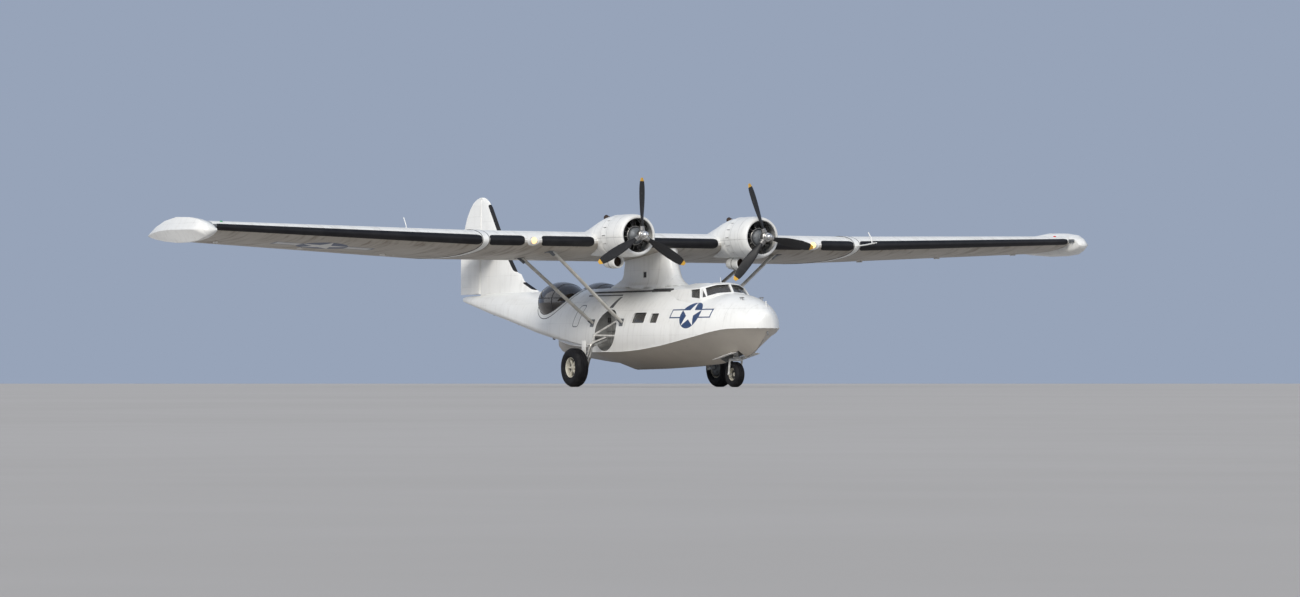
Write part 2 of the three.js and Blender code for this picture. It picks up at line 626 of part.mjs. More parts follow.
function makeEngine(side, word) {
  const x = side * ENGINE.x;
  const front = new THREE.Vector3(x, aft(ENGINE.cowlFront), ENGINE.z);
  place(`cowl_${word}`, turned(COWL_PROFILE, front, AFT, 24), WHITE);

  const gearcase = [[0, 0], [90, 0], [110, 130], [230, 210], [250, 330]];
  const crankcase = [[290, 360], [290, 820], [400, 860], [400, 1000], [0, 1000]];
  const casing = [...gearcase, ...crankcase];
  const nose = new THREE.Vector3(x, aft(ENGINE.propStation + 130), ENGINE.z);
  let engine = turned(casing, nose, AFT, 16);
  for (const { station, turn } of ROWS) {
    for (let i = 0; i < CYLINDERS; i += 1) {
      const angle = turn + (i / CYLINDERS) * 2 * Math.PI;
      const out = new THREE.Vector3(Math.cos(angle), 0, Math.sin(angle));
      const base = new THREE.Vector3(x, aft(station), ENGINE.z).addScaledVector(out, 200);
      engine = engine.add(bar(base, base.clone().addScaledVector(out, 390), 100, 115, 6));
    }
  }
  const mount = bar(nose.clone().setY(aft(4860)), nose.clone().setY(aft(5111)), 330, 330, 16);
  place(`engine_${word}`, engine.add(mount), ENGINE_GREY);

  place(`nacelle_${word}`, nacelleSolid(x, 0).subtract(centreWing(FIT_GAP)), WHITE);
}

const BLADE = [
  { at: 100, chord: 120, thick: 110, pitch: 50 },
  { at: 350, chord: 150, thick: 80, pitch: 45 },
  { at: 700, chord: 270, thick: 45, pitch: 35 },
  { at: 1150, chord: 290, thick: 28, pitch: 26 },
  { at: 1550, chord: 230, thick: 18, pitch: 21 },
  { at: 1730, chord: 90, thick: 10, pitch: 19 },
];
// The first blade's angle from straight up, in degrees
const FIRST_BLADE = { right: 0, left: -20 };

function makePropeller(side, word) {
  const centre = new THREE.Vector3(side * ENGINE.x, aft(ENGINE.propStation), ENGINE.z);
  const dome = [[0, -310], [70, -300], [105, -240], [112, -120], [150, -90], [150, 90], [80, 115], [0, 115]];
  let propeller = turned(dome, centre, AFT, 16);
  for (let blade = 0; blade < 3; blade += 1) {
    const lean = THREE.MathUtils.degToRad(FIRST_BLADE[word] + blade * 120);
    const out = new THREE.Vector3(Math.sin(lean), 0, Math.cos(lean));
    const around = new THREE.Vector3(Math.cos(lean), 0, -Math.sin(lean));
    const rings = BLADE.map(({ at, chord, thick, pitch }) => {
      const twist = THREE.MathUtils.degToRad(pitch);
      const flat = around.clone().multiplyScalar(Math.cos(twist)).addScaledVector(AFT, Math.sin(twist));
      const up = around.clone().multiplyScalar(-Math.sin(twist)).addScaledVector(AFT, Math.cos(twist));
      return Array.from({ length: 8 }, (_, i) => {
        const angle = (i / 8) * 2 * Math.PI;
        return centre
          .clone()
          .addScaledVector(out, at)
          .addScaledVector(flat, (chord / 2) * Math.cos(angle))
          .addScaledVector(up, (thick / 2) * Math.sin(angle));
      });
    });
    propeller = propeller.add(loft(rings));
  }
  place(`propeller_${word}`, propeller, BLADE_GREY);
}

// Oil cooler pods and exhaust stubs on the nacelles
const COOLER = { station: 5000, length: 800, z: 3800, radius: 200 };
function makeNacelleParts(side, word) {
  const x = side * ENGINE.x;
  const r = COOLER.radius;
  const skin = nacelleSolid(x, FIT_GAP);
  const profile = [[0, 60], [r - 30, 60], [r - 20, 0], [r, 25], [r, 420], [r - 50, 700], [0, 800]];
  const front = new THREE.Vector3(x, aft(COOLER.station + 140), COOLER.z);
  const pod = turned(profile, front, AFT, 16);
  place(`oil_cooler_${word}`, without(pod, [skin, centreWing(FIT_GAP)]), WHITE);
  const stub = bar(new THREE.Vector3(x, aft(5580), 4980), new THREE.Vector3(x, aft(5930), 5170), 75, 75, 12);
  place(`exhaust_${word}`, without(stub, [skin]), DARK_STEEL);
}

for (const { word, side } of SIDES) {
  makeEngine(side, word);
  makePropeller(side, word);
  makeNacelleParts(side, word);
}

// Tail. The fin and rudder share their sections, split at the rudder's hinge.
const RUDDER_HINGE = 17970;
const FIN = [
  { z: 2900, lead: 13700, tail: 19460 },
  { z: 3070, lead: 14130, tail: 19460 },
  { z: 3410, lead: 15090, tail: 19460 },
  { z: 3640, lead: 15310, tail: 19460 },
  { z: 3690, lead: 15530, tail: 19460 },
  { z: 4290, lead: 16100, tail: 19460 },
  { z: 5050, lead: 16680, tail: 19270 },
  { z: 5540, lead: 17030, tail: 19040 },
  { z: 5850, lead: 17260, tail: 18800 },
  { z: 6040, lead: 17480, tail: 18580 },
  { z: 6150, lead: 17680, tail: 18340 },
  { z: 6200, lead: 17850, tail: 18120 },
];
const FIN_HALF = { root: 165, tip: 60 };
const RUDDER_FLOOR = 3030;

// A fin section with a set half thickness at the hinge, so that the rudder's nose is a cone
function finSection({ z, lead, tail }, grow) {
  const t = (z - FIN[0].z) / (FIN[FIN.length - 1].z - FIN[0].z);
  const half = FIN_HALF.root + (FIN_HALF.tip - FIN_HALF.root) * t + grow;
  const fore = [[0, 0], [0.04, 0.3], [0.15, 0.62], [0.4, 0.95], [0.7, 1.03], [1, 1]];
  const behind = [[0.25, 0.8], [0.6, 0.46], [1, 0.1]];
  const nose = fore.map(([f, h]) => [h * half, lead - grow + (RUDDER_HINGE - lead) * f]);
  const heel = behind.map(([f, h]) => [h * half, RUDDER_HINGE + (tail + grow - RUDDER_HINGE) * f]);
  const port = [...nose, ...heel];
  const other = port.slice(1).reverse().map(([x, s]) => [-x, s]);
  return [...port, ...other].map(([x, s]) => new THREE.Vector3(x, aft(s), z));
}

function rudderHalfAt(z) {
  const t = (z - FIN[0].z) / (FIN[FIN.length - 1].z - FIN[0].z);
  return FIN_HALF.root + (FIN_HALF.tip - FIN_HALF.root) * t;
}

const TAILPLANE = { z: 4340, half: 4650, hinge: 18000 };
const ELEVATOR = { chord: 1100, inner: 210, cutback: 640 };

function tailplaneRing(x, lead, tail, half, grow) {
  const fore = [[0, 0], [0.05, 0.36], [0.2, 0.72], [0.5, 1], [1, 1]];
  const behind = [[0.4, 0.66], [1, 0.08]];
  const { hinge } = TAILPLANE;
  const nose = fore.map(([f, h]) => [lead - grow + (hinge - lead) * f, h * half + (h ? grow : 0)]);
  const heel = behind.map(([f, h]) => [hinge + (tail + grow - hinge) * f, h * half + grow]);
  const top = [...nose, ...heel];
  const below = top.slice(1).reverse().map(([s, up]) => [s, -up]);
  return [...top, ...below].map(([s, up]) => new THREE.Vector3(x, aft(s), TAILPLANE.z + up));
}

// Plan of half the tailplane with its rounded tip
const TAILPLANE_PLAN = [
  { x: 0, lead: 16720, tail: 19000, half: 125 },
  { x: 3600, lead: 17080, tail: 18760, half: 85 },
  { x: 4250, lead: 17220, tail: 18640, half: 70 },
  { x: 4520, lead: 17420, tail: 18480, half: 55 },
  { x: 4650, lead: 17700, tail: 18260, half: 40 },
];
const halfTailplane = (side, grow) =>
  loft(TAILPLANE_PLAN.map((row) => tailplaneRing(side * row.x, row.lead, row.tail, row.half, grow)));
const elevatorNose = (x) => {
  const rows = TAILPLANE_PLAN;
  const i = rows.findIndex((row) => row.x >= x);
  const [a, b] = [rows[Math.max(i - 1, 0)], rows[Math.max(i, 1)]];
  return a.half + ((b.half - a.half) * (x - a.x)) / (b.x - a.x);
};

function makeTail() {
  const whole = (grow) => loft(FIN.map((row) => finSection(row, grow)));
  const top = FIN[FIN.length - 1].z;
  const hingeFoot = new THREE.Vector3(0, aft(RUDDER_HINGE), RUDDER_FLOOR);
  const hingeHead = new THREE.Vector3(0, aft(RUDDER_HINGE), 6120);
  const wall = (z) => aft(RUDDER_HINGE) - rudderHalfAt(z) - RUNNING_GAP;
  const slab = loft(
    [FIN[0].z - 100, top + 20].map((z) => [
      new THREE.Vector3(-500, wall(z), z),
      new THREE.Vector3(500, wall(z), z),
      new THREE.Vector3(500, aft(LENGTH + 200), z),
      new THREE.Vector3(-500, aft(LENGTH + 200), z),
    ]),
  );
  const fin = without(whole(0), [slab, aftHull(-FIT_GAP)]);
  place("fin", fin, WHITE);

  const behind = block([-500, aft(RUDDER_HINGE), RUDDER_FLOOR], [500, aft(LENGTH + 1), top + 1]);
  const nose = bar(hingeFoot, hingeHead, rudderHalfAt(RUDDER_FLOOR) - 2, rudderHalfAt(6120) - 2);
  place("rudder", whole(0).intersect(behind).add(nose), FABRIC_WHITE);

  for (const { word, side } of SIDES) {
    const wallAt = (x) => aft(TAILPLANE.hinge) - elevatorNose(x) - RUNNING_GAP;
    const aftBox = loft(
      TAILPLANE_PLAN.map(({ x }) => {
        const far = x === 0 ? -300 : x === TAILPLANE.half ? x + 50 : x;
        const y = wallAt(x);
        return [
          new THREE.Vector3(side * far, y, TAILPLANE.z - 400),
          new THREE.Vector3(side * far, y + 2500, TAILPLANE.z - 400),
          new THREE.Vector3(side * far, y + 2500, TAILPLANE.z + 400),
          new THREE.Vector3(side * far, y, TAILPLANE.z + 400),
        ];
      }),
    );
    const half = halfTailplane(side, 0);
    const finCut = whole(FIT_GAP);
    place(`tailplane_${word}`, without(half, [aftBox, finCut]), WHITE);

    const blade = half.intersect(
      loft(
        [TAILPLANE.z - 300, TAILPLANE.z + 300].map((z) => [
          new THREE.Vector3(side * ELEVATOR.inner, aft(TAILPLANE.hinge), z),
          new THREE.Vector3(side * 5000, aft(TAILPLANE.hinge), z),
          new THREE.Vector3(side * 5000, aft(TAILPLANE.hinge + ELEVATOR.chord), z),
          new THREE.Vector3(side * ELEVATOR.cutback, aft(TAILPLANE.hinge + ELEVATOR.chord), z),
        ]),
      ),
    );
    const noses = TAILPLANE_PLAN.slice(0, -2).map((row, i) => {
      const next = TAILPLANE_PLAN[i + 1];
      const from = Math.max(row.x, ELEVATOR.inner);
      const foot = new THREE.Vector3(side * from, aft(TAILPLANE.hinge), TAILPLANE.z);
      const head = new THREE.Vector3(side * next.x, aft(TAILPLANE.hinge), TAILPLANE.z);
      return bar(foot, head, elevatorNose(from) - 2, next.half - 2);
    });
    place(`elevator_${word}`, joined([blade, ...noses]), FABRIC_WHITE);
  }
}
makeTail();

// Wheels. A tyre and its wheel are turned about the axle.
function tyreProfile({ radius, width, rim }) {
  const middle = (radius + rim) / 2;
  const half = (radius - rim) / 2;
  const points = Array.from({ length: 10 }, (_, i) => {
    const angle = (i / 10) * 2 * Math.PI;
    const [c, s] = [Math.cos(angle), Math.sin(angle)];
    const round = (value) => Math.sign(value) * Math.abs(value) ** 0.75;
    return [middle + half * round(c), (width / 2) * round(s)];
  });
  return [...points, points[0]];
}

const ACROSS = new THREE.Vector3(1, 0, 0);
const WHEEL_HOLES = 6;

function makeWheel(names, centre, wheel, outward) {
  const tyre = tyreProfile(wheel);
  const direction = ACROSS.clone().multiplyScalar(outward);
  place(names.tyre, turned(tyre, centre, direction, 20), TYRE_BLACK);
  const r = wheel.rim - FIT_GAP;
  const w = wheel.width / 2;
  const disc = [
    [0, -w * 0.2],
    [r * 0.3, -w * 0.2],
    [r * 0.3, -w * 0.05],
    [r * 0.8, -w * 0.05],
    [r * 0.9, -w * 0.7],
    [r - 1, -w * 0.74],
    [r - 1, w * 0.74],
    [r * 0.9, w * 0.7],
    [r * 0.8, w * 0.15],
    [r * 0.35, w * 0.1],
    [r * 0.3, w * 0.5],
    [0, w * 0.5],
  ];
  const holes = Array.from({ length: WHEEL_HOLES }, (_, i) => {
    const angle = (i / WHEEL_HOLES) * 2 * Math.PI;
    const middle = new THREE.Vector3(0, Math.cos(angle), Math.sin(angle)).multiplyScalar(r * 0.58);
    const near = centre.clone().add(middle);
    return bar(near.clone().addScaledVector(ACROSS, -w), near.clone().addScaledVector(ACROSS, w), r * 0.2);
  });
  place(names.wheel, without(turned(disc, centre, direction, 20), holes), WHEEL_CREAM);
}

const LEG_X = 2200;
function makeMainGear(side, word) {
  const axle = new THREE.Vector3(side * MAIN_WHEEL.x, aft(MAIN_WHEEL.station), MAIN_WHEEL.radius);
  makeWheel({ tyre: `tyre_main_${word}`, wheel: `wheel_main_${word}` }, axle, MAIN_WHEEL, side);
  const at = (x, station, z) => new THREE.Vector3(side * x, aft(station), z);
  const inner = MAIN_WHEEL.x - MAIN_WHEEL.width * 0.1 - 8;
  const leg = joined([
    bar(at(inner, 7150, 595), at(LEG_X - 40, 7150, 595), 45),
    bar(at(LEG_X, 7150, 540), at(1980, 7180, 1330), 60, 70),
    bar(at(1980, 7180, 1290), at(1480, 7180, 1480), 75),
    bar(at(1920, 7190, 1350), at(1640, 7640, 1600), 45),
  ]);
  const rods = joined([
    bar(at(1650, 7640, 1600), at(1250, 6650, 2090), 30),
    bar(at(1650, 7640, 1590), at(1250, 6520, 1560), 30),
    bar(at(1250, 6570, 1530), at(1250, 6660, 2110), 40),
  ]);
  const well = wellSolid(side, WELL.radius - FIT_GAP, WELL.inner + FIT_GAP);
  const clear = forwardHull(-FIT_GAP).subtract(well);
  place(`main_leg_${word}`, without(leg.add(rods), [clear]), STRUT_GREY);
}

function makeNoseGear() {
  const centre = new THREE.Vector3(0, aft(NOSE_WHEEL.station), NOSE_WHEEL.radius);
  makeWheel({ tyre: "tyre_nose", wheel: "wheel_nose" }, centre, NOSE_WHEEL, PORT);
  const at = (x, station, z) => new THREE.Vector3(x, aft(station), z);
  const s = NOSE_WHEEL.station;
  const gap = NOSE_WHEEL.width / 2 + 30;
  const wheelBay = block([-100, aft(s - 100), 300], [100, aft(s + 100), 460]);
  const fork = joined([
    bar(at(-gap - 30, s, 380), at(-gap - 30, s - 60, 820), 32),
    bar(at(gap + 30, s, 380), at(gap + 30, s - 60, 820), 32),
    bar(at(-gap - 60, s, 380), at(gap + 60, s, 380), 26).subtract(wheelBay),
    bar(at(-gap - 45, s - 60, 820), at(gap + 45, s - 60, 820), 45),
    bar(at(0, s - 60, 800), at(0, s - 60, 960), 60),
  ]);
  place("nose_fork", fork, STRUT_GREY);
  const pivot = NOSE_WELL.halfWidth - FIT_GAP;
  const leg = joined([
    bar(at(0, s - 60, 960 + FIT_GAP), at(0, s - 60, 1499), 75),
    bar(at(-pivot, s - 60, 1380), at(pivot, s - 60, 1380), 50),
    bar(at(0, s - 60, 1050), at(0, NOSE_WELL.aft - 1, 1400), 35),
  ]);
  place("nose_leg", leg.intersect(noseWellBox(-FIT_GAP)), STRUT_GREY);
}

for (const { word, side } of SIDES) makeMainGear(side, word);
makeNoseGear();

// Cockpit and cabin, as far as they show through the windows
const inside = forwardHull(HULL_WALL + FIT_GAP, 450);
function makeInside() {
  const floor = block([-1500, aft(2520), 1700], [1500, aft(3895), 1740]).intersect(inside);
  place("cockpit_floor", floor, CABIN_GREEN);
  const cabinFloor = block([-1030, aft(3905), 1180], [1030, aft(7820), 1215]).intersect(inside);
  place("cabin_floor", cabinFloor, CABIN_GREEN);
  const waistFloor = block([-1500, aft(9600), 1700], [1500, aft(12900), 1735]);
  place("waist_floor", waistFloor.intersect(aftHull(AFT_WALL + FIT_GAP)), CABIN_GREEN);
  const panel = block([-1100, aft(1960), 2180], [1100, aft(2040), 2620]).intersect(inside);
  place("instrument_panel", panel, DARK_STEEL);
  for (const { word, side } of SIDES) {
    const x = side * 480;
    const seat = joined([
      block([x - 230, aft(2700), 1980], [x + 230, aft(3180), 2080]),
      block([x - 230, aft(3100), 2080], [x + 230, aft(3190), 2720]),
      block([x - 180, aft(2780), 1740 + FIT_GAP], [x + 180, aft(3120), 1980]),
    ]);
    place(`pilot_seat_${word}`, seat, SEAT_BROWN);
  }
}
makeInside();

export default part;
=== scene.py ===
# %% [markdown]
# # A twin-engined flying boat
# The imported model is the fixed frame. Every piece below is placed in metres in that frame: the bow
# points along -Y, port is +X and the floor under the wheels is z = 0. Stations are distances from the bow.

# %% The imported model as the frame
import math
import bpy
from mathutils import Matrix, Vector


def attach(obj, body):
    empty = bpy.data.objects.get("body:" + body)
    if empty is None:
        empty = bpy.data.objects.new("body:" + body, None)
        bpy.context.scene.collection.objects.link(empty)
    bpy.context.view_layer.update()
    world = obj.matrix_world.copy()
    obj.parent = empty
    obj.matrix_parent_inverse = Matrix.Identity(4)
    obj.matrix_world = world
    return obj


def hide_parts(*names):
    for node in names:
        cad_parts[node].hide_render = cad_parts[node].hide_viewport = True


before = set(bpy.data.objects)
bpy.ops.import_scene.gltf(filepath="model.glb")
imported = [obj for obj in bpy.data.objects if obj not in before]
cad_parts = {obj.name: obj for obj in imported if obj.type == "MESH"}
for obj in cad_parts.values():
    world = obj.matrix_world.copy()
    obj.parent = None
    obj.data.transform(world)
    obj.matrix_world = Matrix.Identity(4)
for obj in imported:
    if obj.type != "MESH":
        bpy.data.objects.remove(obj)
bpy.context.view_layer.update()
BOW = -9.73


def at(x, station, z):
    """A point in the frame from its distance to port, its distance from the bow and its height."""
    return Vector((x, BOW + station, z))


SIDES = (("right", -1), ("left", 1))
ENGINE_X, ENGINE_Z = 2.178, 4.57
COWL_FRONT, HUB = 3.95, 3.74
SEAT_X = 0.48

# %% [markdown]
# ## Camera, floor and light
# The photograph looks at the starboard bow, 30 degrees off the nose and a little from below. Here the
# aircraft is parked, so the camera stands a long way off at floor level with a long lens, which keeps the
# photograph's flat perspective. Its distance and lens give the photograph's size in a 1300 by 597 frame.

# %% Camera
AZIMUTH = math.radians(30.1)
DISTANCE = 150
EYE_HEIGHT = 0.12
PIXELS_PER_METRE = 32.4
FRAME_WIDTH = 1300
SENSOR = 36
AIM = Vector((0.03, -2.66, 2.73))
away = Vector((-math.sin(AZIMUTH), -math.cos(AZIMUTH), 0)) * DISTANCE
eye = Vector((AIM.x + away.x, AIM.y + away.y, EYE_HEIGHT))

lens = bpy.data.cameras.new("photo_camera")
lens.sensor_width = SENSOR
lens.lens = PIXELS_PER_METRE * SENSOR * DISTANCE / FRAME_WIDTH
lens.clip_end = 2000
camera = bpy.data.objects.new("photo_camera", lens)
bpy.context.scene.collection.objects.link(camera)
camera.location = eye
camera.rotation_euler = (AIM - eye).to_track_quat("-Z", "Y").to_euler()
bpy.context.scene.camera = camera
print("lens", round(lens.lens, 2), "mm at", tuple(round(v, 2) for v in eye))

# %% [markdown]
# The sky is one plain blue-grey that fills all shadows. A wide, soft sun over the camera's left shoulder
# stands for the studio's big lamp, and two weaker ones lift the shadows in front and on the starboard side.
# Colours go to the picture as they are, so white paint stays white.

# %% Backdrop and lamps
world = bpy.data.worlds.new("studio")
bpy.context.scene.world = world
world.use_nodes = True
backdrop = world.node_tree.nodes["Background"]
backdrop.inputs["Color"].default_value = (0.31, 0.37, 0.485, 1)
backdrop.inputs["Strength"].default_value = 1.0
bpy.context.scene.view_settings.view_transform = "Standard"

for name, energy, wide, towards in (
    ("key_lamp", 2.6, 30, (0.58, 0.62, -0.53)),
    ("fill_lamp", 0.5, 60, (-0.6, 0.6, -0.3)),
    ("side_lamp", 0.8, 80, (0.85, -0.25, -0.3)),
):
    lamp = bpy.data.lights.new(name, "SUN")
    lamp.energy = energy
    lamp.angle = math.radians(wide)
    lamp.color = (1.0, 0.955, 0.885)
    holder = bpy.data.objects.new(name, lamp)
    bpy.context.scene.collection.objects.link(holder)
    holder.rotation_euler = Vector(towards).to_track_quat("-Z", "Y").to_euler()

# %% [markdown]
# ## Finishes
# A finish is a material made of nodes. Its arithmetic is written as Python: a Wire is one node's output,
# and each sum or product on it adds a Math node. This reads like a formula and stays easy to change.


# %% Arithmetic on shader sockets
class Wire:
    """A number that varies over a surface."""

    def __init__(self, finish, socket):
        self.finish = finish
        self.socket = socket

    def maths(self, operation, *values):
        return self.finish.node("ShaderNodeMath", {"operation": operation}, dict(enumerate(values)))

    def __add__(self, other):
        return self.maths("ADD", self, other)

    def __sub__(self, other):
        return self.maths("SUBTRACT", self, other)

    def __rsub__(self, other):
        return self.maths("SUBTRACT", other, self)

    def __mul__(self, other):
        return self.maths("MULTIPLY", self, other)

    def __truediv__(self, other):
        return self.maths("DIVIDE", self, other)

    def __pow__(self, other):
        return self.maths("POWER", self, other)

    __radd__ = __add__
    __rmul__ = __mul__

    def most(self, other):
        return self.maths("MAXIMUM", self, other)

    def size(self):
        return self.maths("ABSOLUTE", self)

    def folded(self, spacing):
        """The distance to the nearest multiple of a spacing."""
        return self.maths("PINGPONG", self, spacing / 2)

    def rises(self, start, end):
        """0 before start, 1 after end and smooth between them. With start past end it falls."""
        low, high, first, last = (start, end, 0, 1) if start < end else (end, start, 1, 0)
        settings = {"interpolation_type": "SMOOTHSTEP"}
        return self.finish.node("ShaderNodeMapRange", settings, {0: self, 1: low, 2: high, 3: first, 4: last})


# %% A finish and its nodes
class Finish:
    """A material whose node tree is built call by call."""

    def __init__(self, name):
        self.material = bpy.data.materials.new(name)
        self.material.use_nodes = True
        self.tree = self.material.node_tree
        self.shader = self.tree.nodes["Principled BSDF"]
        self.place = self.node("ShaderNodeTexCoord", output="Object")
        split = self.node("ShaderNodeSeparateXYZ", {}, {0: self.place}).socket.node
        self.x, self.y, self.z = (Wire(self, split.outputs[i]) for i in range(3))

    def node(self, kind, settings=None, values=None, output=0):
        """Adds a node of any type: its settings first, then the values or wires of its sockets."""
        made = self.tree.nodes.new(kind)
        for name, value in (settings or {}).items():
            if name == "stops":
                self.stops(made.color_ramp, value)
            else:
                setattr(made, name, value)
        for name, value in (values or {}).items():
            if isinstance(value, Wire):
                self.tree.links.new(value.socket, made.inputs[name])
            else:
                made.inputs[name].default_value = value
        return Wire(self, made.outputs[output])

    @staticmethod
    def stops(ramp, stops):
        while len(ramp.elements) < len(stops):
            ramp.elements.new(0.5)
        for element, (position, colour) in zip(ramp.elements, stops):
            element.position = position
            element.color = (*colour, 1)

    def noise(self, scale, detail=4, stretch=(1, 1, 1), roughness=0.55):
        """Cloudy noise from 0 to 1, drawn out along an axis where its stretch is small."""
        spot = self.node("ShaderNodeMapping", {}, {"Vector": self.place, "Scale": stretch})
        values = {"Vector": spot, "Scale": scale, "Detail": detail, "Roughness": roughness}
        return self.node("ShaderNodeTexNoise", {}, values)

    def mix(self, factor, first, second):
        """Colour first where the factor is 0 and second where it is 1."""
        colours = {i: (*c, 1) if isinstance(c, tuple) else c for i, c in ((6, first), (7, second))}
        return self.node("ShaderNodeMix", {"data_type": "RGBA"}, {0: factor, **colours}, output=2)

    def bump(self, height, depth, strength=1.0):
        """A Normal from a height of 0 to 1 that stands for a depth in metres."""
        return self.node("ShaderNodeBump", {}, {"Height": height, "Distance": depth, "Strength": strength})

    def set(self, **sockets):
        """Sets or links the shader's own sockets: Base_Color stands for Base Color."""
        for name, value in sockets.items():
            socket = self.shader.inputs[name.replace("_", " ")]
            if isinstance(value, Wire):
                self.tree.links.new(value.socket, socket)
            else:
                socket.default_value = value
        return self.material


# %% [markdown]
# ### Painted sheet metal
# The hull, nacelles and pylon are thin sheet, lapped and riveted, under gloss white paint. Seams are narrow
# grooves at the frames and stringers, rivets are small domes beside them, and rain leaves faint upright
# streaks. A roundel of generic kind is a mask: a disc, a star folded into one of its five points, and bars.


# %% Seams, rivets and grime
def seams(across, along, pitch_across, pitch_along, width=0.003):
    """1 on the seams of a grid of plates."""
    first = across.folded(pitch_across).rises(width * 2, width)
    second = along.folded(pitch_along).rises(width * 2, width)
    return first.most(second)


def rivets(across, along, row, pitch, radius=0.0045):
    """1 on rivet heads that stand in rows beside the seams."""
    beside = across.folded(row) - 0.018
    spot = beside * beside + along.folded(pitch) ** 2
    return spot.rises(radius**2 * 1.6, radius**2 * 0.5)


WHITE = (0.80, 0.80, 0.775)
GRIME = (0.33, 0.31, 0.28)
NAVY = (0.018, 0.05, 0.135)


def roundel(along, up, radius):
    """Masks of the disc and bars, and of the star and bars' white, of a common roundel."""
    out = (along * along + up * up) ** 0.5
    disc = out.rises(radius * 1.005, radius * 0.995)
    fold = math.radians(72)
    angle = along.maths("ARCTAN2", along, up).folded(fold)
    reach = out * (angle - fold).maths("COSINE", angle - fold)
    star = reach.rises(radius * 0.312, radius * 0.306)
    high = (up - radius * 0.06).size()
    rim = along.size().rises(radius * 2.1, radius * 2.08) * high.rises(radius * 0.35, radius * 0.34)
    bars = along.size().rises(radius * 2.0, radius * 1.99) * high.rises(radius * 0.26, radius * 0.25)
    dark = disc.most(rim)
    light = star.most(bars * (1 - disc))
    return dark, light


def painted_metal(name, white=WHITE, marks=None, grid=(0.62, 0.78), shade_and_dirt_below=None, lines=None, gap=0.003):
    """Gloss paint over riveted sheet. marks gives (along, up, radius) of a roundel, and lines a mask painted
    near black, such as a hatch's outline or the painted shadow of a slot.

    The wider a seam's gap is, the darker it looks. Below a given height the paint turns darker towards the
    bottom in mottled patches: painted shade, with grime."""
    finish = Finish(name)
    clouds = finish.noise(1.3, 5)
    streaks = finish.noise(2.2, 5, (3.0, 3.0, 0.22)).rises(0.48, 0.78)
    fine = finish.noise(45, 3)
    seam = seams(finish.y, finish.z, *grid, gap)
    studs = rivets(finish.y, finish.z, grid[0], 0.042)
    colour = finish.mix(clouds.rises(0.35, 0.75) * 0.28, white, tuple(c * 0.82 for c in white))
    colour = finish.mix(streaks * 0.22, colour, GRIME)
    shade = streaks * 0.3 + clouds.rises(0.4, 0.7) * 0.2 + gap * 20
    colour = finish.mix(seam * shade, colour, (0.2, 0.2, 0.2))
    # Below a height the paint turns darker towards the bottom in mottled patches: painted shade, with grime.
    if shade_and_dirt_below is not None:
        low = finish.z.rises(shade_and_dirt_below + 0.35, shade_and_dirt_below - 0.25)
        low_shade_and_dirt = low * (finish.noise(3.4, 6, (1, 0.35, 1)) * 0.8 + 0.2)
        colour = finish.mix(low_shade_and_dirt * 0.5, colour, (0.36, 0.345, 0.32))
    # lines paints its mask near black: a painted shadow over the wheel well on the forward hull, the hatch's
    # outline on the rear hull.
    if lines is not None:
        colour = finish.mix(lines(finish) * 0.92, colour, (0.02, 0.02, 0.022))
    if marks is not None:
        along, up, radius = marks(finish)
        dark, light = roundel(along, up, radius)
        worn = 1 - fine.rises(0.62, 0.7) * 0.25
        colour = finish.mix(dark * worn, colour, NAVY)
        colour = finish.mix(light * worn, colour, white)
    height = studs * 0.5 - seam + clouds * 0.6
    return finish.set(
        Base_Color=colour,
        Roughness=0.3 + clouds * 0.14 + fine * 0.06 + streaks * 0.1,
        Coat_Weight=0.35 - streaks * 0.2,
        Coat_Roughness=0.12,
        Normal=finish.bump(height, 0.0022, 0.7),
    )


def bow_mark(finish):
    """The bow's roundel lies on the side as it leans in, so its height is measured round the section."""
    round_section = ((finish.z - 1.52) / 1.34).maths("ARCSINE", (finish.z - 1.52) / 1.34)
    return finish.y - (BOW + 2.53), (round_section - 0.5166) * 1.365, 0.465


def box_edge(along, up, half, round_off, line):
    """1 on the outline of a rounded box about 0, from its distance field."""
    over_a = (along.size() - (half[0] - round_off)).most(0)
    over_u = (up.size() - (half[1] - round_off)).most(0)
    away = ((over_a * over_a + over_u * over_u) ** 0.5 - round_off).size()
    return away.rises(line, line * 0.7)


def slot_shadow(finish):
    """A painted shadow: the dark slot that follows a frame over the wheel well."""
    up = finish.z - 2.43
    along = (finish.y - (BOW + 7.26) + up * 0.32).size() + up * 0.15
    return along.rises(0.125, 0.115) * up.rises(-0.01, 0.01) * up.rises(0.35, 0.33)


def hatch_line(finish):
    """The outline of the waist hatch."""
    up = finish.z - 2.2
    along = finish.y - (BOW + 9.05) + up * 0.1
    return box_edge(along, up, (0.18, 0.33), 0.1, 0.016)


# Below the chine the white hull is painted a darker grey-brown: painted shade for an underside out of the
# light.
UNDER_SHADE_GREY = (0.43, 0.395, 0.345)
hull_white = painted_metal("hull_white", marks=bow_mark, shade_and_dirt_below=1.5, lines=slot_shadow)
rear_white = painted_metal("rear_white", grid=(0.7, 0.66), shade_and_dirt_below=1.4, lines=hatch_line)
hull_under_shade = painted_metal("hull_under_shade", white=UNDER_SHADE_GREY)
gloss_white = painted_metal("gloss_white", grid=(0.55, 0.6))
cowl_white = painted_metal("cowl_white", white=(0.77, 0.77, 0.745), grid=(0.45, 0.9), gap=0.009)
print("sheet metal finishes:", hull_white.name, gloss_white.name, cowl_white.name)

# %% [markdown]
# ### Wing and control surfaces
# The wing's front is metal, and behind its rear spar it is doped fabric over ribs. The fabric sinks a little
# between the ribs and carries a tape over each one. Oil and exhaust run back under the wing, so the streaks
# follow the flight direction. Faces that look down get a brown-grey painted shade.


# %% Doped fabric and wing skin
def facing_up(finish):
    """How much a surface looks up: its normal's height."""
    normal = finish.node("ShaderNodeNewGeometry", output="Normal")
    return Wire(finish, finish.node("ShaderNodeSeparateXYZ", {}, {0: normal}).socket.node.outputs[2])


STREAK_ON_TOP = 0.3


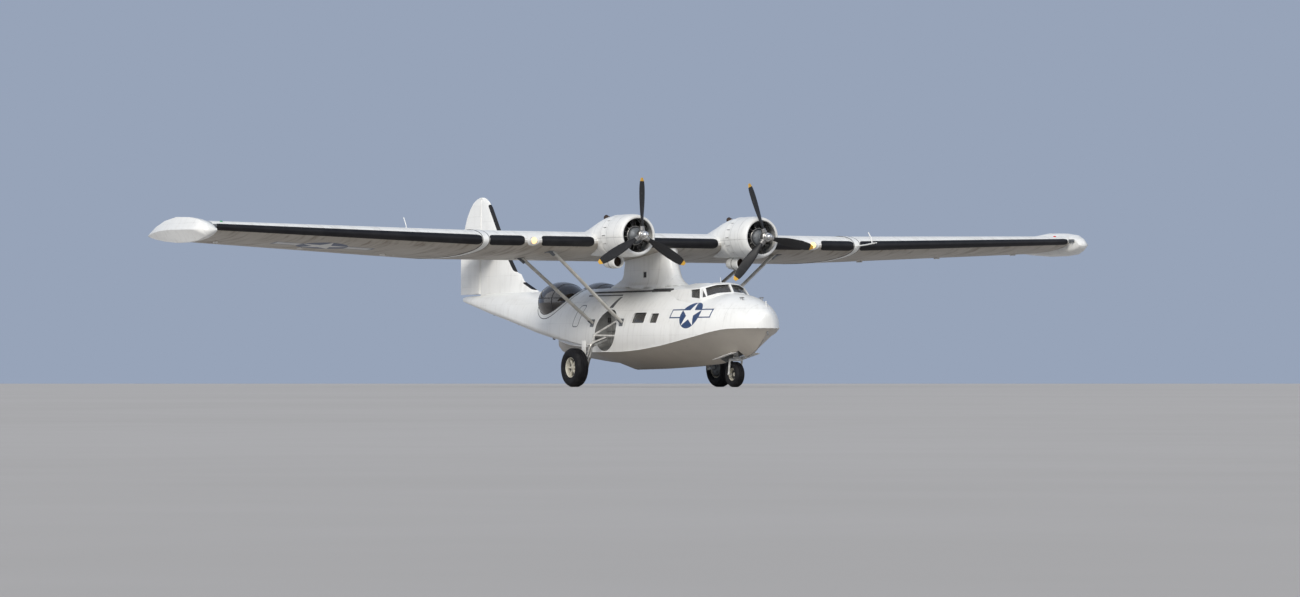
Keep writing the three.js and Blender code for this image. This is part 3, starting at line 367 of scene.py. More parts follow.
def wing_skin(name, rib=0.38, spar=None, marks=None):
    """Fabric over ribs, with sheet metal in front of the spar's station where one is given."""
    finish = Finish(name)
    facing = facing_up(finish)
    # below marks faces that look down: they get a painted shade, and the oil runs are stronger there.
    below = facing.rises(-0.1, -0.4)
    clouds = finish.noise(0.9, 5)
    runs = finish.noise(2.4, 6, (2.6, 0.16, 1.5)).rises(0.45, 0.8)
    weave = finish.noise(420, 2)
    ribs = finish.x.folded(rib)
    tape = ribs.rises(0.03, 0.026)
    tape_edge = tape - ribs.rises(0.026, 0.022)
    sag = (ribs * (2 / rib)) ** 0.6
    fabric = 1.0
    metal_seam = seams(finish.x, finish.y, rib * 2, 0.61)
    if spar is not None:
        fabric = finish.y.rises(BOW + spar - 0.01, BOW + spar + 0.01)
        joint = (finish.y - (BOW + spar)).size().rises(0.02, 0.012)
    colour = finish.mix(clouds.rises(0.3, 0.8) * 0.3, WHITE, (0.64, 0.63, 0.59))
    # Painted shade: downward faces turn brown-grey.
    colour = finish.mix(below * (clouds * 0.25 + 0.75), colour, (0.36, 0.32, 0.265))
    colour = finish.mix(runs * (below + STREAK_ON_TOP), colour, (0.25, 0.215, 0.17))
    colour = finish.mix(tape_edge * 0.35 * fabric, colour, (0.3, 0.3, 0.28))
    height = (tape * 0.4 - sag * 0.8 + weave * 0.15) * fabric
    if spar is not None:
        metal = 1 - fabric
        colour = finish.mix((metal_seam * metal).most(joint) * 0.4, colour, (0.2, 0.2, 0.2))
        height = height - metal_seam * metal * 0.6
    if marks is not None:
        dark, light, worn = marks(finish, clouds)
        colour = finish.mix(dark * worn, colour, NAVY)
        colour = finish.mix(light * worn, colour, (0.74, 0.74, 0.72))
    return finish.set(
        Base_Color=colour,
        Roughness=0.42 + clouds * 0.16 + runs * 0.1,
        Coat_Weight=0.12,
        Coat_Roughness=0.2,
        Normal=finish.bump(height, 0.004, 0.8),
    )


def wing_marks(finish, clouds):
    """A roundel on top of the port wing and one below the starboard wing, read by the skin's side."""
    upper = facing_up(finish).rises(-0.05, 0.05)
    port = finish.x.rises(-0.1, 0.1)
    there = upper * port + (1 - upper) * (1 - port)
    dark, light = roundel(finish.x.size() - 11.1, (BOW + 7.35) - finish.y, 0.78)
    worn = 0.9 - clouds.rises(0.45, 0.8) * 0.3
    return dark * there, light * there, worn


wing_white = wing_skin("wing_white", spar=8.0, marks=wing_marks)
fabric_white = wing_skin("fabric_white", rib=0.34)


# %% [markdown]
# The rudder and elevators have ribs too, but the rudder's run fore and aft at steps of height, so its
# pattern reads z where the wing's reads x.


# %% Rudder fabric
def rudder_skin():
    finish = Finish("rudder_white")
    clouds = finish.noise(1.4, 5)
    ribs = finish.z.folded(0.33)
    tape = ribs.rises(0.028, 0.024)
    edge = tape - ribs.rises(0.024, 0.02)
    streaks = finish.noise(2.0, 5, (2, 2, 0.25)).rises(0.5, 0.8)
    colour = finish.mix(clouds.rises(0.3, 0.8) * 0.25, WHITE, (0.66, 0.65, 0.62))
    colour = finish.mix(streaks * 0.14, colour, GRIME)
    colour = finish.mix(edge * 0.3, colour, (0.35, 0.35, 0.33))
    height = tape * 0.4 - (ribs * 6) ** 0.6 * 0.8
    return finish.set(
        Base_Color=colour,
        Roughness=0.42 + clouds * 0.15,
        Coat_Weight=0.12,
        Normal=finish.bump(height, 0.004, 0.8),
    )


rudder_white = rudder_skin()

# %% [markdown]
# ### Small finishes
# The rest are single materials with wear at their own scale: matt rubber, oily castings, brushed and
# polished metal, enamel on struts, glass and leather. One recipe with a table of numbers covers those that
# differ only in colour, gloss and grain.


# %% Worn finishes from one recipe
def worn(name, colour, second, scale, rough, metal=0.0, grain=0.0006, coat=0.0, shine=0.5):
    finish = Finish(name)
    clouds = finish.noise(scale, 6)
    fine = finish.noise(scale * 14, 3)
    blend = (clouds * 0.7 + fine * 0.3).rises(0.36, 0.68)
    return finish.set(
        Base_Color=finish.mix(blend, colour, second),
        Roughness=rough + fine * 0.16 + clouds * 0.1,
        Metallic=metal,
        Coat_Weight=coat,
        Specular_IOR_Level=shine,
        Normal=finish.bump(clouds * 0.4 + fine * 0.6, grain, 0.8),
    )


rubber_boot = worn("rubber_boot", (0.004, 0.004, 0.006), (0.011, 0.011, 0.013), 3.2, 0.28, shine=0.3)
seal_black = worn("seal_black", (0.015, 0.015, 0.015), (0.05, 0.05, 0.05), 9, 0.5)
strut_paint = worn("strut_paint", (0.56, 0.55, 0.51), (0.40, 0.385, 0.35), 5, 0.34, coat=0.3)
gear_paint = worn("gear_paint", (0.62, 0.62, 0.60), (0.38, 0.37, 0.35), 8, 0.36, coat=0.25)
engine_grey = worn("engine_grey", (0.19, 0.205, 0.22), (0.09, 0.095, 0.10), 11, 0.42, metal=0.3)
cylinder_metal = worn("cylinder_metal", (0.16, 0.155, 0.15), (0.045, 0.043, 0.04), 14, 0.4, metal=0.7)
# This black is the engine baffles' own colour, and also painted shade behind the wheels' spokes and in a
# well's opening.
baffle_and_shade_black = worn("baffle_and_shade_black", (0.012, 0.012, 0.013), (0.03, 0.03, 0.03), 8, 0.5)
polished = worn("polished", (0.78, 0.77, 0.75), (0.58, 0.57, 0.55), 6, 0.1, metal=1.0, grain=0.0002)
bare_steel = worn("bare_steel", (0.42, 0.41, 0.39), (0.26, 0.25, 0.24), 12, 0.3, metal=0.95)
exhaust_steel = worn("exhaust_steel", (0.075, 0.045, 0.03), (0.03, 0.025, 0.023), 16, 0.55, metal=0.4)
cabin_green = worn("cabin_green", (0.075, 0.13, 0.085), (0.045, 0.08, 0.055), 7, 0.5)
# This black is the own colour of panels, frames, yokes and throttles, and painted shade in the pylon's
# windows.
panel_and_shade_black = worn("panel_and_shade_black", (0.02, 0.02, 0.021), (0.045, 0.045, 0.045), 14, 0.45)
well_grey = worn("well_grey", (0.25, 0.255, 0.25), (0.17, 0.17, 0.165), 4, 0.5)
leather = worn("leather", (0.17, 0.075, 0.035), (0.085, 0.038, 0.02), 9, 0.42, grain=0.0012)
wheel_cream = worn("wheel_cream", (0.58, 0.56, 0.48), (0.34, 0.32, 0.27), 12, 0.34, coat=0.2)
lamp_white = worn("lamp_white", (0.85, 0.83, 0.78), (0.75, 0.72, 0.66), 20, 0.15, metal=0.6)


# %% Tyre rubber, blade paint and glass
def tyre_rubber():
    """Dusty rubber, a little greyer in patches."""
    finish = Finish("tyre_rubber")
    clouds = finish.noise(7, 6)
    fine = finish.noise(110, 3)
    dust = (clouds * 0.6 + fine * 0.4).rises(0.42, 0.72)
    return finish.set(
        Base_Color=finish.mix(dust, (0.004, 0.004, 0.006), (0.016, 0.016, 0.017)),
        Roughness=0.6 + fine * 0.2,
        Specular_IOR_Level=0.25,
        Normal=finish.bump(fine, 0.0008, 0.7),
    )


TIP_PAINT = 1.62


def blade_paint(name, x):
    """Dark blades with yellow tips: the tip is what lies far from the hub's axis."""
    finish = Finish(name)
    across = finish.x - x
    high = finish.z - ENGINE_Z
    out = (across * across + high * high) ** 0.5
    fine = finish.noise(60, 4)
    scuffs = finish.noise(9, 5).rises(0.55, 0.75)
    colour = finish.mix(scuffs * 0.5, (0.016, 0.016, 0.017), (0.05, 0.05, 0.05))
    colour = finish.mix(out.rises(TIP_PAINT - 0.002, TIP_PAINT + 0.002), colour, (0.62, 0.35, 0.05))
    return finish.set(
        Base_Color=colour,
        Roughness=0.36 + fine * 0.14,
        Specular_IOR_Level=0.3,
        Normal=finish.bump(fine, 0.0004, 0.6),
    )


def tinted_glass(name, tint, clear, rough=0.04):
    """Dark glass that lets part of the light through, with faint dirt."""
    finish = Finish(name)
    dirt = finish.noise(6, 5).rises(0.5, 0.8)
    return finish.set(
        Base_Color=finish.mix(dirt * 0.2, tint, (0.25, 0.25, 0.24)),
        Roughness=rough + dirt * 0.08,
        Alpha=(1 - clear) + dirt * 0.06,
        Specular_IOR_Level=0.8,
        Coat_Weight=1.0,
        Coat_Roughness=0.03,
    )


tyre_black = tyre_rubber()
blades = {word: blade_paint(f"blade_{word}", side * ENGINE_X) for word, side in SIDES}
pane_glass = tinted_glass("pane_glass", (0.13, 0.125, 0.12), 0.66)
blister_glass = tinted_glass("blister_glass", (0.020, 0.014, 0.011), 0.16)


def glow(name, colour, strength):
    """A lamp's lens: coloured glass that shines a little, brightest in its middle grain."""
    finish = Finish(name)
    grain = finish.noise(40, 2)
    tone = finish.mix(grain * 0.4, colour, tuple(c * 0.6 for c in colour))
    return finish.set(Base_Color=tone, Roughness=0.15, Emission_Color=tone, Emission_Strength=strength)


landing_glow = glow("landing_glow", (1.0, 0.62, 0.27), 1.6)
red_glow = glow("red_glow", (0.55, 0.02, 0.015), 0.15)
green_glow = glow("green_glow", (0.015, 0.30, 0.10), 0.15)
print("finishes:", len(bpy.data.materials))

# %% [markdown]
# ## The floor
# A wide pale floor runs to the horizon. It isn't part of the aircraft. A slight
# mottling keeps it from being one flat colour.

# %% Floor
floor_grey = worn("floor_grey", (0.44, 0.42, 0.395), (0.41, 0.39, 0.365), 0.12, 0.75, grain=0.0001)
bpy.ops.mesh.primitive_circle_add(vertices=96, radius=900, fill_type="TRIFAN", location=(0, 0, -0.002))
floor = bpy.context.object
floor.name = "studio_floor"
floor.data.materials.append(floor_grey)

# %% [markdown]
# ## Working by operators
# Modelling operators act on whatever is selected. These few helpers leave a known state before each step:
# everything deselected, one piece active, and faces picked by their place or normal.


# %% Selecting and editing helpers
def rest():
    """Object mode, with nothing selected."""
    if bpy.context.object and bpy.context.object.mode != "OBJECT":
        bpy.ops.object.mode_set(mode="OBJECT")
    bpy.ops.object.select_all(action="DESELECT")


def hold(piece):
    """Only this piece is selected and active."""
    rest()
    piece.select_set(True)
    bpy.context.view_layer.objects.active = piece
    return piece


def edit(piece, pick=None, kind="FACE"):
    """Edit mode with nothing selected, or with what pick says.

    A face is picked by its centre and normal, a vertex by its place.
    """
    hold(piece)
    bpy.ops.object.mode_set(mode="EDIT")
    bpy.ops.mesh.select_mode(type=kind)
    bpy.ops.mesh.select_all(action="DESELECT")
    if pick is None:
        return
    bpy.ops.object.mode_set(mode="OBJECT")
    if kind == "FACE":
        for face in piece.data.polygons:
            face.select = pick(face.center, face.normal)
    else:
        for vertex in piece.data.vertices:
            vertex.select = pick(vertex.co)
    bpy.ops.object.mode_set(mode="EDIT")


def apply_place(piece):
    hold(piece)
    bpy.ops.object.transform_apply(location=True, rotation=True, scale=True)
    return piece


def finish_with(piece, kind, **settings):
    """Adds one modifier and applies it."""
    hold(piece)
    modifier = piece.modifiers.new(kind.lower(), kind)
    for name, value in settings.items():
        setattr(modifier, name, value)
    bpy.ops.object.modifier_apply(modifier=modifier.name)
    return piece


def tidy_normals(piece, merge=0.0002):
    hold(piece)
    bpy.ops.object.mode_set(mode="EDIT")
    bpy.ops.mesh.select_all(action="SELECT")
    bpy.ops.mesh.remove_doubles(threshold=merge)
    bpy.ops.mesh.normals_make_consistent(inside=False)
    bpy.ops.object.mode_set(mode="OBJECT")
    return piece


def meshed(name, points, faces, edges=()):
    """A new piece from its points and faces, or from its points and edges."""
    mesh = bpy.data.meshes.new(name)
    mesh.from_pydata(points, edges, faces)
    piece = bpy.data.objects.new(name, mesh)
    bpy.context.scene.collection.objects.link(piece)
    return piece


def done(piece, name, finish, nodes=(), angle=32, body="airframe"):
    """Names a piece, gives it its finish and puts it on its body."""
    apply_place(piece)
    piece.name = name
    piece.data.name = name
    piece.data.materials.clear()
    piece.data.materials.append(finish)
    bpy.ops.object.shade_smooth_by_angle(angle=math.radians(angle))
    if nodes:
        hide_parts(*nodes)
    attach(piece, body)
    rest()
    return piece


def copied(piece, name, turn=None):
    """A copy with its own mesh, moved by a matrix."""
    twin = piece.copy()
    twin.data = piece.data.copy()
    twin.name = name
    bpy.context.scene.collection.objects.link(twin)
    if turn is not None:
        twin.data.transform(turn)
        if turn.determinant() < 0:
            twin.data.flip_normals()
    return twin


def joined(pieces):
    rest()
    for piece in pieces:
        piece.select_set(True)
    bpy.context.view_layer.objects.active = pieces[0]
    bpy.ops.object.join()
    return bpy.context.object


# %% [markdown]
# ## The hull
# The hull is what everyone looks at, so it isn't a copy: it is lofted again from the same stations, eased by
# a smooth curve between them, with many more points than the solid has. Its sections have a V bottom, a
# sharp chine, flat sides and a quarter ellipse up to the deck. Wells, windows and rooms are cut out of it.

# %% Rings bridged into a skin
def lofted(name, rings):
    """A closed skin over rings of equally many points."""
    count = len(rings[0])
    points = [p for ring in rings for p in ring]
    faces = []
    for r in range(len(rings) - 1):
        for i in range(count):
            a, b = r * count + i, r * count + (i + 1) % count
            faces.append((a, b, b + count, a + count))
    faces.append(tuple(reversed(range(count))))
    faces.append(tuple(range((len(rings) - 1) * count, len(rings) * count)))
    return tidy_normals(meshed(name, points, faces))


def between(rows, spot, keys):
    """A row at a spot between rows sorted by their first key, eased by a smooth curve through them."""
    first = keys[0]
    i = max(0, min(len(rows) - 2, sum(row[first] <= spot for row in rows) - 1))
    a, b = rows[i], rows[i + 1]
    before, after = rows[max(i - 1, 0)], rows[min(i + 2, len(rows) - 1)]
    span = b[first] - a[first]
    t = (spot - a[first]) / span
    made = {first: spot}
    for key in keys[1:]:
        m0 = (b[key] - before[key]) / max(b[first] - before[first], 1e-6) * span
        m1 = (after[key] - a[key]) / max(after[first] - a[first], 1e-6) * span
        made[key] = ((2 * t**3 - 3 * t**2 + 1) * a[key] + (t**3 - 2 * t**2 + t) * m0
                     + (3 * t**2 - 2 * t**3) * b[key] + (t**3 - t**2) * m1)
    return made


# %% The hull's stations, in metres
FORE_KEYS = ("station", "keel", "chine", "beam", "knee", "deck")
FORE = [dict(zip(FORE_KEYS, row)) for row in (
    (0.000, 1.744, 1.752, 0.035, 1.795, 2.080), (0.014, 1.728, 1.752, 0.145, 1.795, 2.160),
    (0.060, 1.680, 1.752, 0.260, 1.795, 2.225), (0.200, 1.530, 1.752, 0.440, 1.795, 2.335),
    (0.450, 1.300, 1.751, 0.640, 1.795, 2.475), (0.700, 1.105, 1.745, 0.790, 1.790, 2.570),
    (1.000, 0.975, 1.730, 0.940, 1.775, 2.665), (1.350, 0.880, 1.670, 1.110, 1.715, 2.745),
    (1.640, 0.825, 1.612, 1.215, 1.660, 2.785), (2.000, 0.780, 1.540, 1.300, 1.590, 2.815),
    (2.480, 0.732, 1.455, 1.385, 1.525, 2.850), (3.000, 0.690, 1.370, 1.450, 1.485, 2.920),
    (3.600, 0.654, 1.280, 1.502, 1.460, 3.020), (4.000, 0.634, 1.230, 1.530, 1.450, 3.080),
    (5.000, 0.600, 1.140, 1.550, 1.440, 3.105), (6.000, 0.570, 1.090, 1.550, 1.440, 3.100),
    (7.890, 0.544, 1.080, 1.550, 1.440, 3.100),
)]
REAR_KEYS = ("station", "bottom", "side", "beam", "knee", "deck")
REAR = [dict(zip(REAR_KEYS, row)) for row in (
    (7.89, 1.180, 1.230, 1.550, 1.440, 3.100), (9.30, 1.270, 1.420, 1.535, 1.560, 3.090),
    (10.90, 1.370, 1.700, 1.410, 1.800, 3.075), (12.50, 1.570, 1.930, 1.180, 1.990, 3.060),
    (13.40, 1.730, 2.060, 1.040, 2.110, 3.050), (14.90, 2.000, 2.290, 0.820, 2.330, 3.060),
    (16.90, 2.350, 2.570, 0.520, 2.600, 3.060), (18.00, 2.570, 2.715, 0.350, 2.745, 2.990),
    (18.70, 2.710, 2.805, 0.240, 2.830, 2.975), (19.05, 2.785, 2.845, 0.170, 2.865, 2.960),
    (19.20, 2.850, 2.880, 0.080, 2.890, 2.930),
)]
KEEL_KEYS = ("station", "keel", "chine", "beam", "top")
KEEL = [dict(zip(KEEL_KEYS, row)) for row in (
    (7.89, 0.690, 1.225, 1.550, 1.60), (9.30, 0.775, 1.290, 1.400, 1.60),
    (10.90, 0.920, 1.375, 0.830, 1.70), (11.70, 1.010, 1.410, 0.470, 1.80),
    (12.50, 1.110, 1.450, 0.130, 1.90), (12.80, 1.300, 1.470, 0.020, 1.90),
)]


# %% Rings of the hull
def run(start, end, steps):
    """Points after start up to end."""
    return [(start[0] + (end[0] - start[0]) * i / steps, start[1] + (end[1] - start[1]) * i / steps)
            for i in range(1, steps + 1)]


def arch(half, low, high, steps):
    """Points of a quarter ellipse after its widest point, up to its crown."""
    made = []
    for i in range(1, steps + 1):
        turn = i / steps * math.pi / 2
        made.append((half * math.cos(turn) if i < steps else 0.0, low + (high - low) * math.sin(turn)))
    return made


def both_sides(half, station):
    port = [at(x, station, z) for x, z in half]
    return port + [at(-x, station, z) for x, z in reversed(half[1:-1])]


def fore_ring(station, inset=0.0):
    row = between(FORE, station, FORE_KEYS)
    beam = row["beam"] - inset
    half = [(0.0, row["keel"] + inset)]
    half += run(half[0], (beam, row["chine"] + inset / 2), 5)
    half += run(half[-1], (beam, row["knee"]), 4)
    half += arch(beam, row["knee"], row["deck"] - inset, 16)
    return both_sides(half, station)


def rear_ring(station, inset=0.0):
    row = between(REAR, station, REAR_KEYS)
    beam = row["beam"] - inset
    bilge = list(reversed(arch(beam, row["side"], row["bottom"] + inset, 9)))
    half = [*bilge, (beam, row["side"]), *run((beam, row["side"]), (beam, row["knee"]), 3)]
    half += arch(beam, row["knee"], row["deck"] - inset, 16)
    return both_sides(half, station)


def keel_ring(station, inset=0.0):
    row = between(KEEL, station, KEEL_KEYS)
    beam = max(row["beam"] - inset, 0.006)
    half = [(0.0, row["keel"] + inset)]
    half += run(half[0], (beam, row["chine"] + inset / 2), 5)
    half += run(half[-1], (beam * 0.93, row["top"]), 2)
    half += run(half[-1], (0.0, row["top"]), 2)
    return both_sides(half, station)


def spread(start, end, count, ease=1.0):
    return [start + (end - start) * (i / count) ** ease for i in range(count + 1)]


# %% Cutters
def cut(piece, cutter, operation="DIFFERENCE"):
    """One boolean with a solid that is then removed. Faces made by a solid with a finish take that finish."""
    mode = "TRANSFER" if cutter.data.materials else "INDEX"
    finish_with(piece, "BOOLEAN", object=cutter, operation=operation, solver="EXACT", material_mode=mode)
    bpy.data.objects.remove(cutter)
    return piece


def prism(name, outline, start, end, round_corners=0.0):
    """A solid from an outline's points, pushed from start to end, with its upright corners rounded."""
    points = [Vector(p) + Vector(start) for p in outline]
    piece = hold(meshed(name, points, [tuple(range(len(points)))]))
    bpy.ops.object.mode_set(mode="EDIT")
    bpy.ops.mesh.select_all(action="SELECT")
    if round_corners:
        bpy.ops.mesh.bevel(offset=round_corners, segments=5, affect="VERTICES")
        bpy.ops.mesh.select_all(action="SELECT")
    push = Vector(end) - Vector(start)
    bpy.ops.mesh.extrude_region_move(TRANSFORM_OT_translate={"value": push})
    bpy.ops.object.mode_set(mode="OBJECT")
    return tidy_normals(piece)


def block(name, low, high):
    """A plain cutting block between two corners."""
    (x0, y0, z0), (x1, y1, z1) = low, high
    face = [(x0, y0, z0), (x1, y0, z0), (x1, y1, z0), (x0, y1, z0)]
    return prism(name, face, (0, 0, 0), (0, 0, z1 - z0))


def ball(name, side, inset):
    """A blister's ellipsoid, drawn in by an inset."""
    bpy.ops.mesh.primitive_uv_sphere_add(segments=72, ring_count=36, radius=1,
                                         location=at(side * 0.7, 11.3, 2.66))
    piece = bpy.context.object
    piece.name = name
    piece.scale = (0.72 - inset, 0.95 - inset, 0.65 - inset)
    return apply_place(piece)


# %% Wheel wells: a D with a straight aft edge
WELL_S, WELL_Z, WELL_R = 7.13, 1.74, 0.64
WELL_X, WELL_OUT, WELL_AFT = 1.08, 1.7, 7.79


def well(side, grow):
    radius, inner = WELL_R + grow, WELL_X - grow
    bpy.ops.mesh.primitive_cylinder_add(vertices=72, radius=radius, depth=WELL_OUT - inner,
                                        location=at(side * (WELL_OUT + inner) / 2, WELL_S, WELL_Z),
                                        rotation=(0, math.pi / 2, 0))
    piece = apply_place(bpy.context.object)
    edit(piece)
    bpy.ops.mesh.select_all(action="SELECT")
    bpy.ops.mesh.bisect(plane_co=at(0, WELL_AFT + grow, 0), plane_no=(0, 1, 0), use_fill=True,
                        clear_outer=True)
    bpy.ops.object.mode_set(mode="OBJECT")
    return tidy_normals(piece)


# %% Canopy rings, for the hole under the canopy
CANOPY = (
    ((0, 2.000, 2.815), (0, 2.240, 3.110), (0, 2.420, 3.145)),
    ((0.430, 2.110, 2.790), (0.400, 2.400, 3.088), (0.200, 2.520, 3.140)),
    ((0.745, 2.340, 2.700), (0.690, 2.600, 3.010), (0.340, 2.680, 3.132)),
    ((0.900, 2.450, 2.660), (0.785, 2.665, 2.985), (0.385, 2.760, 3.130)),
    ((0.985, 2.920, 2.640), (0.880, 2.930, 2.950), (0.430, 2.940, 3.130)),
    ((1.010, 3.500, 2.640), (0.895, 3.500, 2.950), (0.430, 3.500, 3.130)),
    ((0.960, 4.300, 2.640), (0.840, 4.300, 2.915), (0.400, 4.300, 3.070)),
    ((0, 4.340, 2.640), (0, 4.340, 3.100), (0, 4.335, 3.108)),
)


def canopy_form(inset):
    """The canopy's outside drawn in by an inset, with its foot carried down through the deck."""
    def inward(spot, lowered):
        x, station, z = spot
        reach = math.hypot(x, (station - 3.1) * 0.5)
        shrink = (reach - inset) / reach
        return Vector((x * shrink, BOW + 3.1 + (station - 3.1) * shrink, z - lowered))

    rings = []
    for part, lowered in ((0, 0.2), (0, 0.0), (1, inset * 0.7), (2, inset)):
        port = [inward(row[part], lowered) for row in CANOPY]
        rings.append(port + [Vector((-p.x, p.y, p.z)) for p in reversed(port[1:-1])])
    return lofted("canopy_form", rings)


# %% The forward hull, hollow, with its wells, windows and canopy hole
WALL = 0.05
WINDOWS = (
    ((4.13, 1.94), (4.58, 1.94), (4.58, 2.225), (4.13, 2.225)),
    ((4.88, 1.945), (5.65, 1.945), (5.65, 2.19), (5.58, 2.26), (4.88, 2.26)),
)
NOSE_BAY = (1.30, 2.45, 0.27, 1.50)


def nose_bay(grow):
    start, end, half, top = NOSE_BAY
    return block("bay", at(-half - grow, start - grow, 0.3), at(half + grow, end + grow, top + grow))


fore = lofted("fore", [fore_ring(s) for s in spread(0.0, 7.89, 72, 1.5)])
room = lofted("room", [fore_ring(s, WALL) for s in spread(0.45, 7.83, 40)])
room.data.materials.append(cabin_green)
for _, side in SIDES:
    cut(room, well(side, 0.04))
cut(room, nose_bay(0.03))
fore.data.materials.append(hull_white)
cut(fore, room)
for _, side in SIDES:
    lining = well(side, 0.0)
    lining.data.materials.append(well_grey)
    cut(fore, lining)
bay = nose_bay(0.0)
bay.data.materials.append(well_grey)
cut(fore, bay)
for outline in WINDOWS:
    for _, side in SIDES:
        start = at(side * 1.2, 0, 0)
        shape = [(0, s, z) for s, z in outline]
        cut(fore, prism("window", shape, start, at(side * 1.7, 0, 0), 0.04))
cut(fore, canopy_form(0.064))
cut(fore, block("doorway", at(-0.6, 7.80, 1.5), at(0.6, 7.91, 2.85)))
print("forward hull:", len(fore.data.polygons), "faces")

# %% The rear hull, hollow, with the blisters' openings
rear = lofted("rear", [rear_ring(s) for s in spread(7.891, 19.2, 56)])
keel = lofted("keel", [keel_ring(s) for s in spread(7.891, 12.8, 24)])
cut(rear, keel, "UNION")
rear.data.materials.append(rear_white)
waist = lofted("waist", [rear_ring(s, 0.026) for s in spread(7.88, 18.0, 40)])
waist.data.materials.append(cabin_green)
cut(rear, waist)
lower = lofted("lower", [keel_ring(s, 0.026) for s in spread(7.88, 12.4, 20)])
lower.data.materials.append(cabin_green)
cut(rear, lower)
for _, side in SIDES:
    cut(rear, ball("opening", side, 0.06))
print("rear hull:", len(rear.data.polygons), "faces")


# %% Sharp chines
def crease(piece, on_line):
    """Marks as sharp every edge whose two ends lie on a line."""
    there = [on_line(v.co) for v in piece.data.vertices]
    marks = piece.data.attributes
    sharp = marks.get("sharp_edge") or marks.new("sharp_edge", "BOOLEAN", "EDGE")
    count = 0
    for edge in piece.data.edges:
        if there[edge.vertices[0]] and there[edge.vertices[1]]:
            sharp.data[edge.index].value = True
            count += 1
    return count


def on_fore_chine(co):
    row = between(FORE, co.y - BOW, FORE_KEYS)
    return abs(abs(co.x) - row["beam"]) < 0.003 and abs(co.z - row["chine"]) < 0.003


def on_keel_chine(co):
    row = between(KEEL, co.y - BOW, KEEL_KEYS)
    return abs(abs(co.x) - row["beam"]) < 0.003 and abs(co.z - row["chine"]) < 0.003


def hull_skin(piece, name, nodes, on_line, rows, keys):
    """Finishes a hull: a grey of painted shade below its chine, sharp along it, and smooth elsewhere."""
    piece.data.materials.append(hull_under_shade)
    last = len(piece.data.materials) - 1
    for face in piece.data.polygons:
        station = face.center.y - BOW
        if face.material_index == 0 and face.normal.z < -0.2 and station < rows[-1]["station"]:
            if face.center.z < between(rows, station, keys)["chine"] - 0.01:
                face.material_index = last
    hold(piece)
    bpy.ops.object.shade_smooth_by_angle(angle=math.radians(32))
    print(name, "chine edges:", crease(piece, on_line))
    piece.name = name
    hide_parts(*nodes)
    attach(piece, "airframe")
    rest()
    return piece


skins = {
    "fore": hull_skin(fore, "hull_fore_skin", ("hull_bow", "hull_centre"), on_fore_chine, FORE, FORE_KEYS),
    "rear": hull_skin(rear, "hull_rear_skin", ("hull_aft", "tail_boom"), on_keel_chine, KEEL, KEEL_KEYS),
}

# %% [markdown]
# ## The skins
# The CAD solids have the aircraft's true forms, but they come as loose flat triangles. A copy of each is
# merged and shaded smooth, except where its faces meet at a real edge such as the chine, and takes its
# finish. The solid itself stays untouched beneath it, hidden, for the physics.

# %% A smooth copy of each solid
SKINS = (
    # finish, slot, body, angle of a real edge, nodes
    (gloss_white, "white_paint", "airframe", 28, ("cockpit_canopy",)),
    (gloss_white, "light_skin", "airframe", 30, ("pylon",)),
    (cowl_white, "light_skin", "airframe", 30, ("nacelle_right", "nacelle_left")),
    (wing_white, "white_fabric", "airframe", 34, ("wing_centre", "wing_outer_right", "wing_outer_left")),
    (wing_white, "white_fabric", "aileron_right", 34, ("aileron_right",)),
    (wing_white, "white_fabric", "aileron_left", 34, ("aileron_left",)),
    (gloss_white, "float_skin", "airframe", 28, ("float_right", "float_left")),
    (strut_paint, "strut_paint", "airframe", 40,
     ("strut_front_right", "strut_front_left", "strut_rear_right", "strut_rear_left")),
    (fabric_white, "light_skin", "airframe", 30, ("tailplane_right", "tailplane_left")),
    (gloss_white, "light_skin", "airframe", 30, ("fin",)),
    (rudder_white, "white_fabric", "rudder", 30, ("rudder",)),
    (fabric_white, "white_fabric", "elevators", 30, ("elevator_right", "elevator_left")),
    (gear_paint, "strut_paint", "airframe", 40, ("main_leg_right", "main_leg_left", "nose_leg")),
    (gear_paint, "strut_paint", "nose_gear", 40, ("nose_fork",)),
    (pane_glass, "glass", "airframe", 30, ("canopy_glazing", "window_cabin_right", "window_cabin_left")),
    (cabin_green, "cabin_panel", "airframe", 30, ("cockpit_floor", "cabin_floor", "waist_floor")),
    (panel_and_shade_black, "cabin_panel", "airframe", 30, ("instrument_panel",)),
)


def skin_of(node):
    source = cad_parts[node]
    piece = copied(source, f"{node}_skin")
    piece.parent = None
    for key in list(piece.keys()):
        del piece[key]
    piece.hide_render = piece.hide_viewport = False
    hold(piece)
    bpy.ops.object.mode_set(mode="EDIT")
    bpy.ops.mesh.select_all(action="SELECT")
    bpy.ops.mesh.remove_doubles(threshold=0.0002)
    bpy.ops.object.mode_set(mode="OBJECT")
    return piece


for finish, slot, body, angle, nodes in SKINS:
    for node in nodes:
        piece = skin_of(node)
        skins[node] = done(piece, piece.name, finish, (node,), angle, body)
        finish_with(piece, "WEIGHTED_NORMAL", keep_sharp=True)
print("skins:", len(skins))

# %% [markdown]
# ## Turned parts
# Cowls, tyres, pods and domes are round about an axis. Each starts as an outline, from which the spin
# operator makes the round. The outline is written as a short list of radius and distance along the axis.


